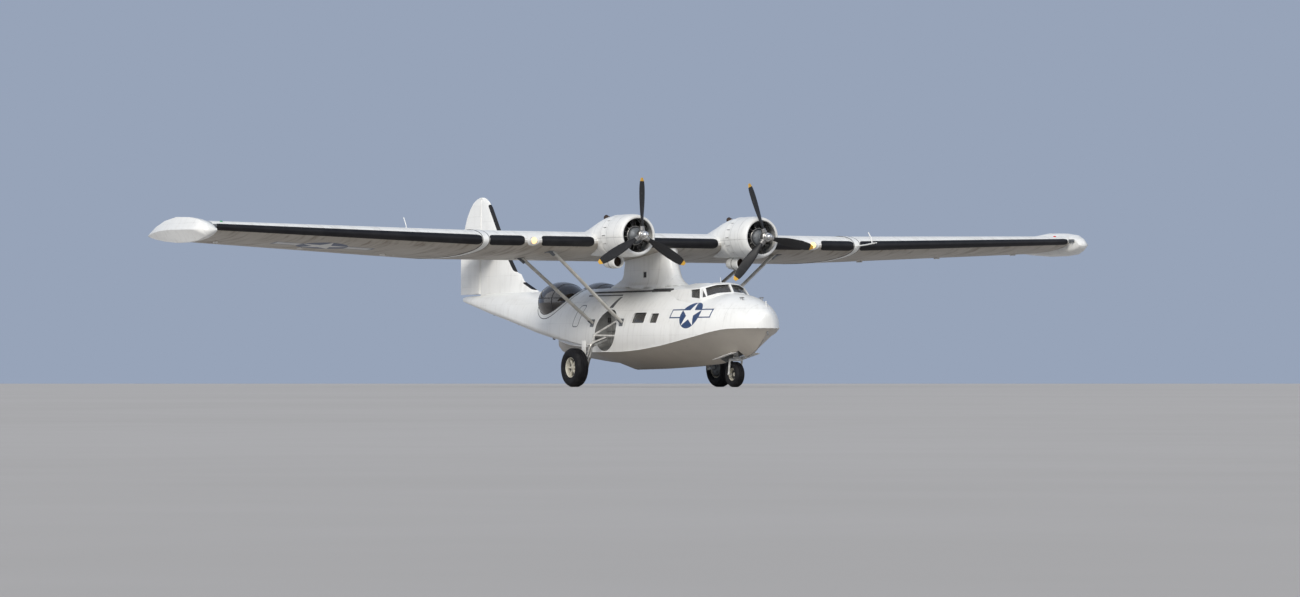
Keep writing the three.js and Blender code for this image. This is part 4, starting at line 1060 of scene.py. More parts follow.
# %% Turning an outline about an axis
def turned(name, outline, centre, axis, steps=48):
    """A closed round from its outline, which starts and ends on the axis or at one and the same point."""
    axis = Vector(axis).normalized()
    side = axis.orthogonal().normalized()
    centre = Vector(centre)
    places = [centre + side * r + axis * a for r, a in outline]
    piece = hold(meshed(name, places, (), [(i, i + 1) for i in range(len(places) - 1)]))
    bpy.ops.object.mode_set(mode="EDIT")
    bpy.ops.mesh.select_all(action="SELECT")
    bpy.ops.mesh.spin(steps=steps, angle=math.tau, center=centre, axis=axis)
    bpy.ops.object.mode_set(mode="OBJECT")
    return tidy_normals(piece, 0.00015)


# %% [markdown]
# ## Engines
# Each engine is a fourteen-cylinder radial in two rows inside an open cowl. The cowl's lip is full and
# round, and behind it the chord widens slightly to a row of cooling flaps. One finned cylinder is turned
# and copied around the crankcase, with its own rocker boxes and pushrod tubes.

# %% Cowls
COWL = (
    (0.513, 0.062), (0.510, 0.030), (0.522, 0.007), (0.548, 0.0), (0.574, 0.010), (0.602, 0.045),
    (0.622, 0.110), (0.638, 0.210), (0.648, 0.340), (0.650, 0.480), (0.650, 0.760), (0.647, 0.905),
    (0.634, 0.905), (0.630, 0.760), (0.628, 0.480), (0.620, 0.320), (0.600, 0.170), (0.560, 0.095),
    (0.526, 0.078), (0.513, 0.062),
)
for word, side in SIDES:
    front = at(side * ENGINE_X, COWL_FRONT, ENGINE_Z)
    cowl = turned(f"cowl_{word}_skin", COWL, front, (0, 1, 0), 72)
    done(cowl, cowl.name, cowl_white, (f"cowl_{word}",), 40)

# %% Cooling flaps behind each cowl
FLAPS = 16
for word, side in SIDES:
    flaps = []
    for i in range(FLAPS):
        middle = (i + 0.5) / FLAPS * math.tau
        if math.sin(middle) < -0.86:
            continue
        front = at(side * ENGINE_X, COWL_FRONT, ENGINE_Z)
        bpy.ops.mesh.primitive_grid_add(x_subdivisions=5, y_subdivisions=3, size=1)
        flap = bpy.context.object
        for vertex in flap.data.vertices:
            turn = middle + vertex.co.x * (math.tau / FLAPS - 0.035)
            back = 0.925 + (vertex.co.y + 0.5) * 0.22
            out = 0.640 + (vertex.co.y + 0.5) * 0.010
            vertex.co = front + Vector((math.cos(turn) * out, back, math.sin(turn) * out))
        finish_with(flap, "SOLIDIFY", thickness=0.012, offset=1)
        flaps.append(flap)
    flap = joined(flaps)
    tidy_normals(flap)
    done(flap, f"cowl_flaps_{word}", cowl_white, (), 25)

# %% One finned cylinder, standing on the engine's axis
FINS = 17
barrel = [(0.0, 0.19), (0.085, 0.19), (0.085, 0.225), (0.066, 0.228)]
for i in range(FINS):
    foot = 0.232 + i * 0.0122
    reach = 0.084 if i < 10 else 0.098
    barrel += [(0.066, foot), (reach, foot + 0.002), (reach, foot + 0.0055), (0.066, foot + 0.0075)]
barrel += [(0.075, 0.445), (0.1, 0.452), (0.098, 0.49), (0.06, 0.515), (0.0, 0.522)]
cylinder = turned("cylinder", barrel, (0, 0, 0), (0, 0, 1), 20)

boxes = []
for lean in (-1, 1):
    bpy.ops.mesh.primitive_cube_add(size=1, location=(lean * 0.055, 0, 0.53), rotation=(0, lean * 0.5, 0))
    box = bpy.context.object
    box.scale = (0.075, 0.11, 0.05)
    apply_place(box)
    finish_with(box, "BEVEL", width=0.012, segments=3)
    boxes.append(box)
    bpy.ops.mesh.primitive_cylinder_add(vertices=10, radius=0.011, depth=0.33,
                                        location=(lean * 0.05, -0.092, 0.36), rotation=(0.1, lean * -0.08, 0))
    rod = bpy.context.object
    finish_with(rod, "BEVEL", width=0.003, segments=2)
    boxes.append(apply_place(rod))
cylinder = joined([cylinder, *boxes])
print("one cylinder:", len(cylinder.data.polygons), "faces")

# %% Two rows of seven around each crankcase
CYLINDERS = 7
CASE = (
    (0.0, 0.17), (0.075, 0.17), (0.09, 0.19), (0.1, 0.26), (0.135, 0.30), (0.205, 0.325), (0.23, 0.36),
    (0.236, 0.43), (0.262, 0.445), (0.262, 0.475), (0.245, 0.49), (0.25, 0.72), (0.26, 0.74),
    (0.25, 0.76), (0.25, 1.0), (0.30, 1.03), (0.38, 1.06), (0.38, 1.26), (0.0, 1.26),
)
for word, side in SIDES:
    hub = at(side * ENGINE_X, HUB, ENGINE_Z)
    case = turned(f"crankcase_{word}", CASE, hub, (0, 1, 0), 48)
    studs = []
    for i in range(14):
        turn = (i + 0.5) / 14 * math.tau
        spot = hub + Vector((math.cos(turn) * 0.251, 0.436, math.sin(turn) * 0.251))
        bpy.ops.mesh.primitive_cylinder_add(vertices=6, radius=0.010, depth=0.026, location=spot,
                                            rotation=(math.pi / 2, 0, 0))
        studs.append(apply_place(finish_with(bpy.context.object, "BEVEL", width=0.002, segments=1)))
    case = joined([case, *studs])
    done(case, f"crankcase_{word}", engine_grey, (f"engine_{word}",), 35)
    for row, station, first in (("front", 4.33, 0.0), ("rear", 4.64, 0.5)):
        row_of = []
        for i in range(CYLINDERS):
            turn = Matrix.Rotation((i + first) / CYLINDERS * math.tau, 4, "Y")
            move = Matrix.Translation(at(side * ENGINE_X, station, ENGINE_Z))
            row_of.append(copied(cylinder, f"cylinder_{word}_{row}_{i}", move @ turn))
        ring = joined(row_of)
        done(ring, f"cylinders_{word}_{row}", cylinder_metal, (), 30)
bpy.data.objects.remove(cylinder)

# %% [markdown]
# A real engine fills its cowl: baffles close the gaps between cylinders, and a ring of ignition leads runs
# round the front of the case. They are what keeps daylight from showing through.

# %% Baffles, ignition ring and leads
for word, side in SIDES:
    hub = at(side * ENGINE_X, HUB, ENGINE_Z)
    shape = ((0.24, 0.97), (0.30, 0.93), (0.60, 0.95), (0.618, 0.96), (0.618, 0.975), (0.30, 0.99),
             (0.24, 0.97))
    plate = turned(f"baffle_{word}", shape, hub, (0, 1, 0), 56)
    done(plate, f"baffle_{word}", baffle_and_shade_black)
    bpy.ops.mesh.primitive_torus_add(major_radius=0.275, minor_radius=0.016, major_segments=56,
                                     minor_segments=10, location=hub + Vector((0, 0.40, 0)),
                                     rotation=(math.pi / 2, 0, 0))
    harness = [bpy.context.object]
    for i in range(14):
        turn = (i + 0.28) / 14 * math.tau
        out = Vector((math.cos(turn), 0, math.sin(turn)))
        start = hub + out * 0.27 + Vector((0, 0.40, 0))
        end = hub + out * 0.44 + Vector((0, 0.47 + 0.04 * (i % 2), 0))
        way = end - start
        bpy.ops.mesh.primitive_cylinder_add(vertices=8, radius=0.007, depth=way.length,
                                            location=(start + end) / 2,
                                            rotation=way.to_track_quat("Z", "Y").to_euler())
        harness.append(apply_place(finish_with(bpy.context.object, "BEVEL", width=0.002, segments=1)))
    done(joined(harness), f"ignition_ring_{word}", bare_steel)

# %% [markdown]
# ## Propellers
# Three broad blades stand on a hub with clamps and a polished dome. A blade is lofted through sections that
# grow wide and thin while they turn from coarse to fine pitch, which no primitive gives, so its rings of
# points are written out and bridged.

# %% Blades
BLADE = (
    {"at": 0.10, "chord": 0.118, "thick": 0.110, "pitch": 50},
    {"at": 0.35, "chord": 0.150, "thick": 0.080, "pitch": 45},
    {"at": 0.70, "chord": 0.266, "thick": 0.045, "pitch": 35},
    {"at": 1.15, "chord": 0.288, "thick": 0.028, "pitch": 26},
    {"at": 1.55, "chord": 0.228, "thick": 0.018, "pitch": 21},
    {"at": 1.725, "chord": 0.09, "thick": 0.010, "pitch": 19},
)
LEANS = {"right": 0, "left": -20}
BLADE_KEYS = ("at", "chord", "thick", "pitch")


def blade_ring(row):
    twist = math.radians(row["pitch"])
    ring = []
    for i in range(20):
        turn = i / 20 * math.tau
        wide = row["chord"] / 2 * math.cos(turn)
        tall = row["thick"] / 2 * math.sin(turn)
        ring.append(Vector((wide * math.cos(twist) - tall * math.sin(twist),
                            wide * math.sin(twist) + tall * math.cos(twist), row["at"])))
    return ring


spots = [0.10 + i * 0.0625 for i in range(26)] + [1.69, 1.715, 1.725]
blade = lofted("blade", [blade_ring(between(BLADE, s, BLADE_KEYS)) for s in spots])
cuff = turned("cuff", ((0.0, 0.13), (0.07, 0.13), (0.088, 0.15), (0.088, 0.19), (0.074, 0.2),
                       (0.074, 0.255), (0.062, 0.27), (0.0, 0.27)), (0, 0, 0), (0, 0, 1), 28)
for word, side in SIDES:
    hub = at(side * ENGINE_X, HUB, ENGINE_Z)
    blade_set, cuffs = [], []
    for i in range(3):
        turn = Matrix.Translation(hub) @ Matrix.Rotation(math.radians(LEANS[word] + 120 * i), 4, "Y")
        blade_set.append(copied(blade, f"blade_{word}_{i}", turn))
        cuffs.append(copied(cuff, f"cuff_{word}_{i}", turn))
    body = f"propeller_{word}"
    done(joined(blade_set), f"blades_{word}", blades[word], (body,), 50, body)
    boss = turned("boss", ((0.0, -0.12), (0.1, -0.12), (0.125, -0.09), (0.15, -0.07), (0.155, 0.0),
                           (0.15, 0.08), (0.11, 0.11), (0.0, 0.115)), hub, (0, 1, 0), 36)
    done(joined([boss, *cuffs]), f"hub_{word}", bare_steel, (), 35, body)
    dome = turned("dome", ((0.0, -0.31), (0.032, -0.307), (0.062, -0.296), (0.088, -0.272), (0.102, -0.238),
                           (0.108, -0.2), (0.11, -0.15), (0.122, -0.148), (0.122, -0.118), (0.0, -0.118)),
                  hub, (0, 1, 0), 40)
    done(dome, f"dome_{word}", polished, (), 40, body)
for left in (blade, cuff):
    bpy.data.objects.remove(left)
print("propellers at", [round(v, 3) for v in hub])

# %% [markdown]
# ## De-icer boots
# Black rubber boots lie over the leading edges. They follow the wing's own section, so the section is
# written here as its formula: a thickness curve on a slightly bent mean line. A boot is a sheet of points on
# that curve, closed by a solidify modifier, and its ends are rounded in plan.

# %% The wing's section
SECTIONS = (
    {"x": 6.57, "lead": 5.44, "z": 4.42, "chord": 4.57, "ratio": 0.153, "turn": 6},
    {"x": 15.4, "lead": 6.24, "z": 4.70, "chord": 2.85, "ratio": 0.150, "turn": 7},
)
CAMBER, PEAK = 0.018, 0.3


def wing_section(x):
    root, tip = SECTIONS
    t = max(0.0, (abs(x) - root["x"]) / (tip["x"] - root["x"]))
    return {key: root[key] + (tip[key] - root[key]) * t for key in root}


def section_point(form, fraction, sign):
    """How far aft and how high a point of a section lies from its nose."""
    f = fraction
    swell = 0.2969 * math.sqrt(f) - 0.126 * f - 0.3516 * f**2 + 0.2843 * f**3 - 0.1015 * f**4
    half = 5 * form["ratio"] * swell
    bend = CAMBER / PEAK**2 * (2 * PEAK * f - f * f)
    if f > PEAK:
        bend = CAMBER / (1 - PEAK) ** 2 * (1 - 2 * PEAK + 2 * PEAK * f - f * f)
    along, up = f * form["chord"], (bend + sign * half) * form["chord"]
    turn = math.radians(form["turn"])
    return (along * math.cos(turn) + up * math.sin(turn), up * math.cos(turn) - along * math.sin(turn))


def wing_point(x, t, upper=0.018, lower=0.030):
    """A point on the leading edge: t runs from -1 below to 1 above."""
    form = wing_section(x)
    back, up = section_point(form, t * t * (upper if t > 0 else lower), 1 if t > 0 else -1)
    return at(x, form["lead"] + back, form["z"] + up)


# %% One boot over a leading edge
BOOT_PROUD = 0.006
BOOT_ACROSS = 12


def facing_forward(name, points, across, thickness):
    """A sheet over rows of equally many points, turned to face forward and given its thickness behind."""
    rows = len(points) // across
    faces = [(r * across + j, r * across + j + 1, (r + 1) * across + j + 1, (r + 1) * across + j)
             for r in range(rows - 1) for j in range(across - 1)]
    piece = tidy_normals(meshed(name, points, faces))
    if sum(f.normal.y * f.area for f in piece.data.polygons) > 0:
        piece.data.flip_normals()
    return finish_with(piece, "SOLIDIFY", thickness=thickness, offset=-1)


def boot(name, point, start, end, corner=0.14):
    """A boot from start to end of the span. point(x, t) is the surface under it."""
    rows = max(3, int(abs(end - start) / 0.45))
    spots = [start + (end - start) * i / rows for i in range(1, rows)]
    way = 1 if end > start else -1
    for i in range(6):
        reach = corner * (1 - math.cos(i / 5 * math.pi / 2))
        spots += [start + way * reach, end - way * reach]
    spots.sort(reverse=way < 0)
    points = []
    for x in spots:
        inside = min(abs(x - start), abs(x - end)) / corner
        reach = 1 if inside > 1 else 0.55 + 0.45 * math.sqrt(max(0, 1 - (1 - inside) ** 2))
        for j in range(BOOT_ACROSS + 1):
            t = (j / BOOT_ACROSS * 2 - 1) * reach
            here = point(x, t)
            along = point(x + way * 0.01, t) - here
            around = point(x, min(t + 0.02, 1.2)) - point(x, max(t - 0.02, -1.2))
            normal = around.cross(along) * way
            if normal.y > 0:
                normal = -normal
            points.append(here + normal.normalized() * BOOT_PROUD)
    sheet = facing_forward(name, points, BOOT_ACROSS + 1, BOOT_PROUD * 1.8)
    return done(sheet, name, rubber_boot, (), 50)


# %% Wing boots, with gaps at the nacelles, the lamps and the wing joints
BOOTS = (("inner", 2.87, 4.66), ("middle", 5.26, 6.44), ("outer", 6.70, 15.12))
for word, side in SIDES:
    for part, start, end in BOOTS:
        boot(f"boot_{part}_{word}", wing_point, side * start, side * end)
boot("boot_between_engines", wing_point, -1.5, 1.5)

# %% [markdown]
# The joints of the outer panels are covered by white straps round the section, and a rubber line closes
# each strap's edge. The landing lamps sit in the gaps of the boots, behind clear covers with a white rim.

# %% Straps over the wing joints
def wrap(x, width, proud):
    """Rings of a strap round the whole section at a distance from the centre line."""
    fractions = [(i / 24) ** 2 for i in range(25)]
    rings = []
    for spot in (x - width / 2, x - width / 2 + 0.006, x + width / 2 - 0.006, x + width / 2):
        form = wing_section(spot)
        edge = abs(spot - x) > width / 2 - 0.003
        ring = []
        for f, sign in [(f, 1) for f in reversed(fractions)] + [(f, -1) for f in fractions[1:-1]]:
            back, up = section_point(form, f, sign)
            lift = -0.012 if edge else proud
            ahead = lift * max(0.0, 1 - f * 12)
            rise = sign * lift * min(1, f * 40 + 0.1)
            ring.append(at(spot, form["lead"] + back - ahead, form["z"] + up + rise))
        rings.append(ring)
    return rings


for word, side in SIDES:
    strap = lofted("strap", wrap(side * 6.57, 0.2, 0.005))
    done(strap, f"joint_strap_{word}", gloss_white, (), 40)
    for edge, where in (("inboard", 6.465), ("outboard", 6.675)):
        line = lofted("line", wrap(side * where, 0.022, 0.007))
        done(line, f"joint_seal_{edge}_{word}", seal_black, (), 40)

# %% Landing lamps
def patch_on_wing(name, x0, x1, t0, t1, proud, finish, thick, steps=10):
    """A sheet that follows the leading edge between two spots, with rounded corners."""
    points = []
    for i in range(steps + 1):
        for j in range(steps + 1):
            u, v = i / steps * 2 - 1, j / steps * 2 - 1
            squeeze = 1 - 0.28 * u * u * v * v
            x = (x0 + x1) / 2 + (x1 - x0) / 2 * u * squeeze
            t = (t0 + t1) / 2 + (t1 - t0) / 2 * v * squeeze
            here = wing_point(x, t)
            around = wing_point(x, t + 0.03) - wing_point(x, t - 0.03)
            normal = around.cross(Vector((1, 0, 0)))
            normal = -normal if normal.y > 0 else normal
            points.append(here + normal.normalized() * proud)
    return done(facing_forward(name, points, steps + 1, thick), name, finish, (), 50)


for word, side in SIDES:
    a, b = side * 4.76, side * 5.17
    patch_on_wing(f"lamp_rim_{word}", a, b, -0.95, 0.95, 0.012, gloss_white, 0.02)
    patch_on_wing(f"lamp_reflector_{word}", a + side * 0.07, b - side * 0.06, -0.66, 0.6, 0.016, lamp_white,
                  0.014)
    patch_on_wing(f"lamp_lens_{word}", a + side * 0.1, b - side * 0.14, -0.56, 0.48, 0.026, landing_glow,
                  0.012)

# %% [markdown]
# The fin, its low fillet and the tailplane have boots too. Each leading edge there is straight or slightly
# bent in plan, so its surface is a rounded wedge through two rows of numbers.

# %% Tail boots
FIN_LEAD = ((3.70, 15.54), (4.29, 16.10), (5.05, 16.68), (5.54, 17.03), (5.85, 17.26), (6.04, 17.48))
FILLET_LEAD = ((3.09, 14.19), (3.39, 15.03))
TAILPLANE_LEAD = ((0.25, 16.745), (3.60, 17.08), (4.25, 17.22))


def lead_at(rows, spot):
    rows = sorted(rows)
    for (a, s0), (b, s1) in zip(rows, rows[1:]):
        if spot <= b or (b, s1) == rows[-1]:
            return s0 + (s1 - s0) * (spot - a) / (b - a)


def skin_hit(node, origin, direction):
    """Where a ray first meets a skin: its place and normal, or None."""
    found, place, normal, _ = skins[node].ray_cast(Vector(origin), Vector(direction))
    return (place.copy(), normal.copy()) if found else None


def fin_point(rows, reach):
    def point(z, t):
        station = lead_at(rows, z) + 0.002 + reach * t * t
        met = skin_hit("fin", at(math.copysign(1.0, t or 1), station, z), (-math.copysign(1.0, t or 1), 0, 0))
        return at(met[0].x if met and t else 0, station, z)
    return point


def tail_point(side):
    def point(x, t):
        station = lead_at(TAILPLANE_LEAD, abs(x)) + 0.002 + 0.11 * t * t
        way = math.copysign(1.0, t or 1)
        node = "tailplane_right" if side < 0 else "tailplane_left"
        met = skin_hit(node, at(x, station, 4.34 + way), (0, 0, -way))
        return at(x, station, met[0].z if met and t else 4.34)
    return point


boot("boot_fin", fin_point(FIN_LEAD, 0.16), 3.72, 5.95, 0.1)
boot("boot_fillet", fin_point(FILLET_LEAD, 0.20), 3.11, 3.37, 0.05)
for word, side in SIDES:
    boot(f"boot_tail_{word}", tail_point(side), side * 0.32, side * 4.2, 0.12)

# %% [markdown]
# ## Wheels
# A tyre is turned from a rounded outline with three grooves in its tread. The cast wheel has a bright rim, a
# hub with a ring of bolts and six spokes. One spoke is drawn and copied round, and a black disc behind them
# is painted shade.

# %% Tyres
def tyre_outline(radius, width, rim, grooves=3):
    middle, half = (radius + rim) / 2, (radius - rim) / 2
    outline = []
    steps = 44
    for i in range(steps + 1):
        turn = i / steps * math.tau
        c, s = math.cos(turn), math.sin(turn)
        r = middle + half * math.copysign(abs(c) ** 0.75, c)
        a = width / 2 * math.copysign(abs(s) ** 0.75, s)
        outline.append((r, a))
    tread = []
    for i in range(grooves):
        spot = (i - (grooves - 1) / 2) * width * 0.2
        crown = radius - 0.0005 - abs(spot) ** 2 * 0.22
        tread += [(crown, spot - 0.012), (crown - 0.012, spot - 0.008), (crown - 0.012, spot + 0.008),
                  (crown, spot + 0.012)]
    edge = (grooves - 1) / 2 * width * 0.2 + 0.02
    before = [p for p in outline[steps // 2:] if not (p[0] > middle and abs(p[1]) < edge)]
    after = [p for p in outline[:steps // 2] if not (p[0] > middle and abs(p[1]) < edge)]
    ring = before + tread + after
    return [*ring, ring[0]]


SPOKES = 6
# Outlines of the rim and hub, as shares of the wheel's radius and half width
RIM = (
    (0.99, -0.7), (0.99, 0.68), (0.975, 0.73), (0.94, 0.72), (0.9, 0.6), (0.87, 0.3), (0.87, -0.1),
    (0.9, -0.6), (0.95, -0.72), (0.99, -0.7),
)
MIDDLE = ((0, -0.18), (0.29, -0.18), (0.3, 0.26), (0.27, 0.4), (0.17, 0.42), (0.15, 0.49), (0, 0.49))


def cast_wheel(hub, out, r, w):
    """Rim, hub and spokes of a wheel of radius r and half width w, with its outer face towards out."""
    axis = (out, 0, 0)
    rim = turned("rim", [(r * a, w * b) for a, b in RIM], hub, axis, 72)
    middle = turned("middle", [(r * a, w * b) for a, b in MIDDLE], hub, axis, 48)
    arm = [(0, r * 0.2, -r * 0.13), (0, r * 0.55, -r * 0.072), (0, r * 0.9, -r * 0.12),
           (0, r * 0.9, r * 0.12), (0, r * 0.55, r * 0.072), (0, r * 0.2, r * 0.13)]
    spoke = prism("spoke", arm, (out * w * 0.1, 0, 0), (out * w * 0.36, 0, 0))
    finish_with(spoke, "BEVEL", width=w * 0.045, segments=2)
    parts = [rim, middle]
    for i in range(SPOKES):
        turn = Matrix.Translation(hub) @ Matrix.Rotation(i / SPOKES * math.tau, 4, "X")
        parts.append(copied(spoke, "spoke", turn))
    bpy.data.objects.remove(spoke)
    return joined(parts)


MAIN_X, MAIN_S, MAIN_R = 2.59, 7.15, 0.595
WHEELS = (
    ("main_right", (-MAIN_X, MAIN_S, MAIN_R), MAIN_R, 0.41, 0.315, "main_wheel_right", -1),
    ("main_left", (MAIN_X, MAIN_S, MAIN_R), MAIN_R, 0.41, 0.315, "main_wheel_left", 1),
    ("nose", (0, 1.95, 0.38), 0.38, 0.30, 0.19, "nose_wheel", 1),
)
for word, spot, radius, width, rim, body, out in WHEELS:
    hub = at(*spot)
    w, r = width / 2, rim - 0.001
    tyre = turned("tyre", tyre_outline(radius, width, r * 0.93), hub, (1, 0, 0), 80)
    done(tyre, f"tyre_{word}_skin", tyre_black, (f"tyre_{word}",), 30, body)
    wheel = cast_wheel(hub, out, r, w)
    done(wheel, f"wheel_{word}_skin", wheel_cream, (f"wheel_{word}",), 35, body)
    # A black disc behind the spokes is painted shade for the wheel's dark inside.
    back = turned("back", ((0, -w * 0.02), (r * 0.86, -w * 0.02), (r * 0.86, w * 0.02), (0, w * 0.02)), hub,
                  (out, 0, 0), 48)
    done(back, f"wheel_back_shade_{word}", baffle_and_shade_black, (), 35, body)
    bolts = []
    for i in range(8):
        turn = i / 8 * math.tau
        place = hub + Vector((out * w * 0.41, math.cos(turn) * r * 0.22, math.sin(turn) * r * 0.22))
        bpy.ops.mesh.primitive_cylinder_add(vertices=6, radius=r * 0.032, depth=0.02, location=place,
                                            rotation=(0, math.pi / 2, 0))
        bolts.append(apply_place(finish_with(bpy.context.object, "BEVEL", width=0.002, segments=1)))
    done(joined(bolts), f"hub_bolts_{word}", bare_steel, (), 30, body)

# %% [markdown]
# ## Main gear and its wells
# The legs' solids carry the load. Around them go what a rigger would see: torque links, a brake line, the
# drum behind each wheel and the well's ribbed lining.

# %% Tubes along points
def tube(name, points, radius, sides=4):
    """A round rod or pipe along points, made as a curve and turned into a mesh."""
    line = bpy.data.curves.new(name, "CURVE")
    line.dimensions = "3D"
    line.bevel_depth = radius
    line.bevel_resolution = sides
    line.use_fill_caps = True
    spline = line.splines.new("POLY")
    spline.points.add(len(points) - 1)
    for spot, place in zip(spline.points, points):
        spot.co = (*place, 1)
    piece = bpy.data.objects.new(name, line)
    bpy.context.scene.collection.objects.link(piece)
    hold(piece)
    bpy.ops.object.convert(target="MESH")
    return bpy.context.object


def bent(points, steps=8):
    """A smooth line through a few points."""
    points = [Vector(p) for p in points]
    made = []
    for i in range(len(points) - 1):
        a, b = points[i:i + 2]
        before, after = points[max(i - 1, 0)], points[min(i + 2, len(points) - 1)]
        for j in range(steps):
            t = j / steps
            made.append(0.5 * (2 * a + (b - before) * t + (2 * before - 5 * a + 4 * b - after) * t**2
                               + (3 * a - before - 3 * b + after) * t**3))
    return [*made, points[-1]]


# %% Brakes, links and lines
def rounded_box(name, low, high, bevel, segments=2):
    """A box with rounded edges between two corners."""
    low, high = Vector(low), Vector(high)
    bpy.ops.mesh.primitive_cube_add(size=1, location=(low + high) / 2)
    piece = bpy.context.object
    piece.name = name
    piece.scale = high - low
    apply_place(piece)
    return finish_with(piece, "BEVEL", width=bevel, segments=segments, limit_method="NONE")


GUARD_X = 2.29
for word, side in SIDES:
    hub = at(side * MAIN_X, MAIN_S, MAIN_R)
    drum = ((0.0, -0.185), (0.10, -0.185), (0.20, -0.17), (0.242, -0.14), (0.246, -0.04), (0.235, -0.03),
            (0.225, -0.1), (0.0, -0.12))
    piece = turned("drum", drum, hub, (side, 0, 0), 48)
    done(piece, f"brake_drum_{word}", engine_grey, (), 35)
    line = [at(side * 2.36, 7.02, 0.66), at(side * 2.24, 7.04, 0.78), at(side * 2.14, 7.06, 1.0),
            at(side * 2.02, 7.08, 1.28), at(side * 1.76, 7.08, 1.41), at(side * 1.50, 7.09, 1.50)]
    done(tube("line", bent(line), 0.011), f"brake_line_{word}", seal_black)
    links = [tube("upper", [at(side * 2.05, 7.24, 1.12), at(side * 2.12, 7.42, 0.93)], 0.024),
             tube("lower", [at(side * 2.12, 7.42, 0.93), at(side * 2.17, 7.22, 0.70)], 0.024),
             tube("pin", [at(side * 2.06, 7.425, 0.93), at(side * 2.18, 7.425, 0.93)], 0.03)]
    done(joined(links), f"torque_link_{word}", gear_paint, (), 40)
    chrome = tube("oleo", [at(side * 2.183, 7.152, 0.60), at(side * 2.111, 7.162, 0.86)], 0.073, 6)
    collars = [tube("collar", [at(side * 2.111, 7.162, 0.86), at(side * 2.10, 7.164, 0.90)], 0.084, 6),
               tube("collar", [at(side * 2.005, 7.177, 1.24), at(side * 1.991, 7.179, 1.29)], 0.088, 6)]
    done(joined([chrome, *collars]), f"oleo_{word}", bare_steel, (), 40)
    x = side * GUARD_X
    guard = [rounded_box("guard", at(x - 0.006, 6.98, 0.86), at(x + 0.006, 7.24, 1.42), 0.005)]
    for z in (0.96, 1.30):
        stay = [at(side * (2.205 - (z - 0.6) * 0.25), MAIN_S, z), at(x, 7.12, z)]
        guard.append(tube("stay", stay, 0.016))
    done(joined(guard), f"leg_guard_{word}", gloss_white, (), 40)

# %% Well lining: a D-shaped plate with ribs and a frame
for word, side in SIDES:
    centre = at(side * (WELL_X + 0.004), WELL_S, WELL_Z)
    bpy.ops.mesh.primitive_circle_add(vertices=48, radius=WELL_R - 0.012, fill_type="NGON", location=centre,
                                      rotation=(0, side * math.pi / 2, 0))
    plate = apply_place(bpy.context.object)
    edit(plate, lambda centre, normal: True)
    bpy.ops.mesh.inset(thickness=0.05)
    bpy.ops.mesh.inset(thickness=0.02, depth=-0.006)
    bpy.ops.object.mode_set(mode="OBJECT")
    finish_with(plate, "SOLIDIFY", thickness=0.003, offset=0)
    ribs = [plate]
    for i in range(5):
        z = WELL_Z - 0.46 + i * 0.23
        reach = math.sqrt(WELL_R**2 - (z - WELL_Z) ** 2) - 0.02
        x0, x1 = sorted((side * WELL_X, side * (WELL_X + 0.035)))
        low, high = at(x0, WELL_S - reach, z - 0.014), at(x1, WELL_S + reach, z + 0.014)
        ribs.append(rounded_box("rib", low, high, 0.006))
    for i in range(3):
        s = WELL_S - 0.3 + i * 0.3
        reach = math.sqrt(WELL_R**2 - (s - WELL_S) ** 2) - 0.02
        x0, x1 = sorted((side * WELL_X, side * (WELL_X + 0.05)))
        low, high = at(x0, s - 0.012, WELL_Z - reach), at(x1, s + 0.012, WELL_Z + reach)
        ribs.append(rounded_box("rib", low, high, 0.006))
    done(joined(ribs), f"well_lining_{word}", well_grey, (), 30)
    # A black block at the well's top is painted shade for an opening there.
    x0, x1 = sorted((side * WELL_X, side * (WELL_X + 0.06)))
    hole = rounded_box("hole", at(x0, 7.50, 1.98), at(x1, 7.66, 2.14), 0.012)
    done(hole, f"well_hole_shade_{word}", baffle_and_shade_black, (), 30)

# %% [markdown]
# ## Nose gear
# The nose wheel can't be seen in flight, but the aircraft stands on it. The leg has its own torque link, a
# collar and a damper against shimmy.

# %% Nose gear links
link = [tube("upper", [at(0, 1.80, 0.93), at(0, 1.70, 0.86)], 0.018),
        tube("damper", [at(-0.14, 1.80, 0.885), at(0.10, 1.80, 0.885)], 0.026),
        tube("ring", [at(0, 1.89, 0.90), at(0, 1.89, 0.93)], 0.078, 6)]
done(joined(link), "nose_link", gear_paint, (), 40, "nose_gear")

# %% [markdown]
# ## Observation blisters
# Each waist blister is a bubble of dark glass on the hull's side. The bubble is a hollow ellipsoid from which
# the hull's own form is cut away. A raised rim and a thin seal follow the line where the two meet, made the
# same way from slightly larger shells, and metal arches carry the panes.

# %% Blisters
def hull_form(grow, start, end, count=18):
    """The rear hull's outside between two stations, grown outward."""
    return lofted("hull_form", [rear_ring(s, -grow) for s in spread(start, end, count)])


def shell(side, inner, outer):
    """A hollow ellipsoid between two offsets from the blister's glass."""
    return cut(ball("shell", side, -outer), ball("core", side, -inner))


def ring_on_hull(side, inner, outer, proud):
    """A band on the hull's skin round the blister."""
    band = cut(shell(side, inner, outer), hull_form(proud, 9.6, 13.0), "INTERSECT")
    return cut(band, hull_form(-0.004, 9.5, 13.1))


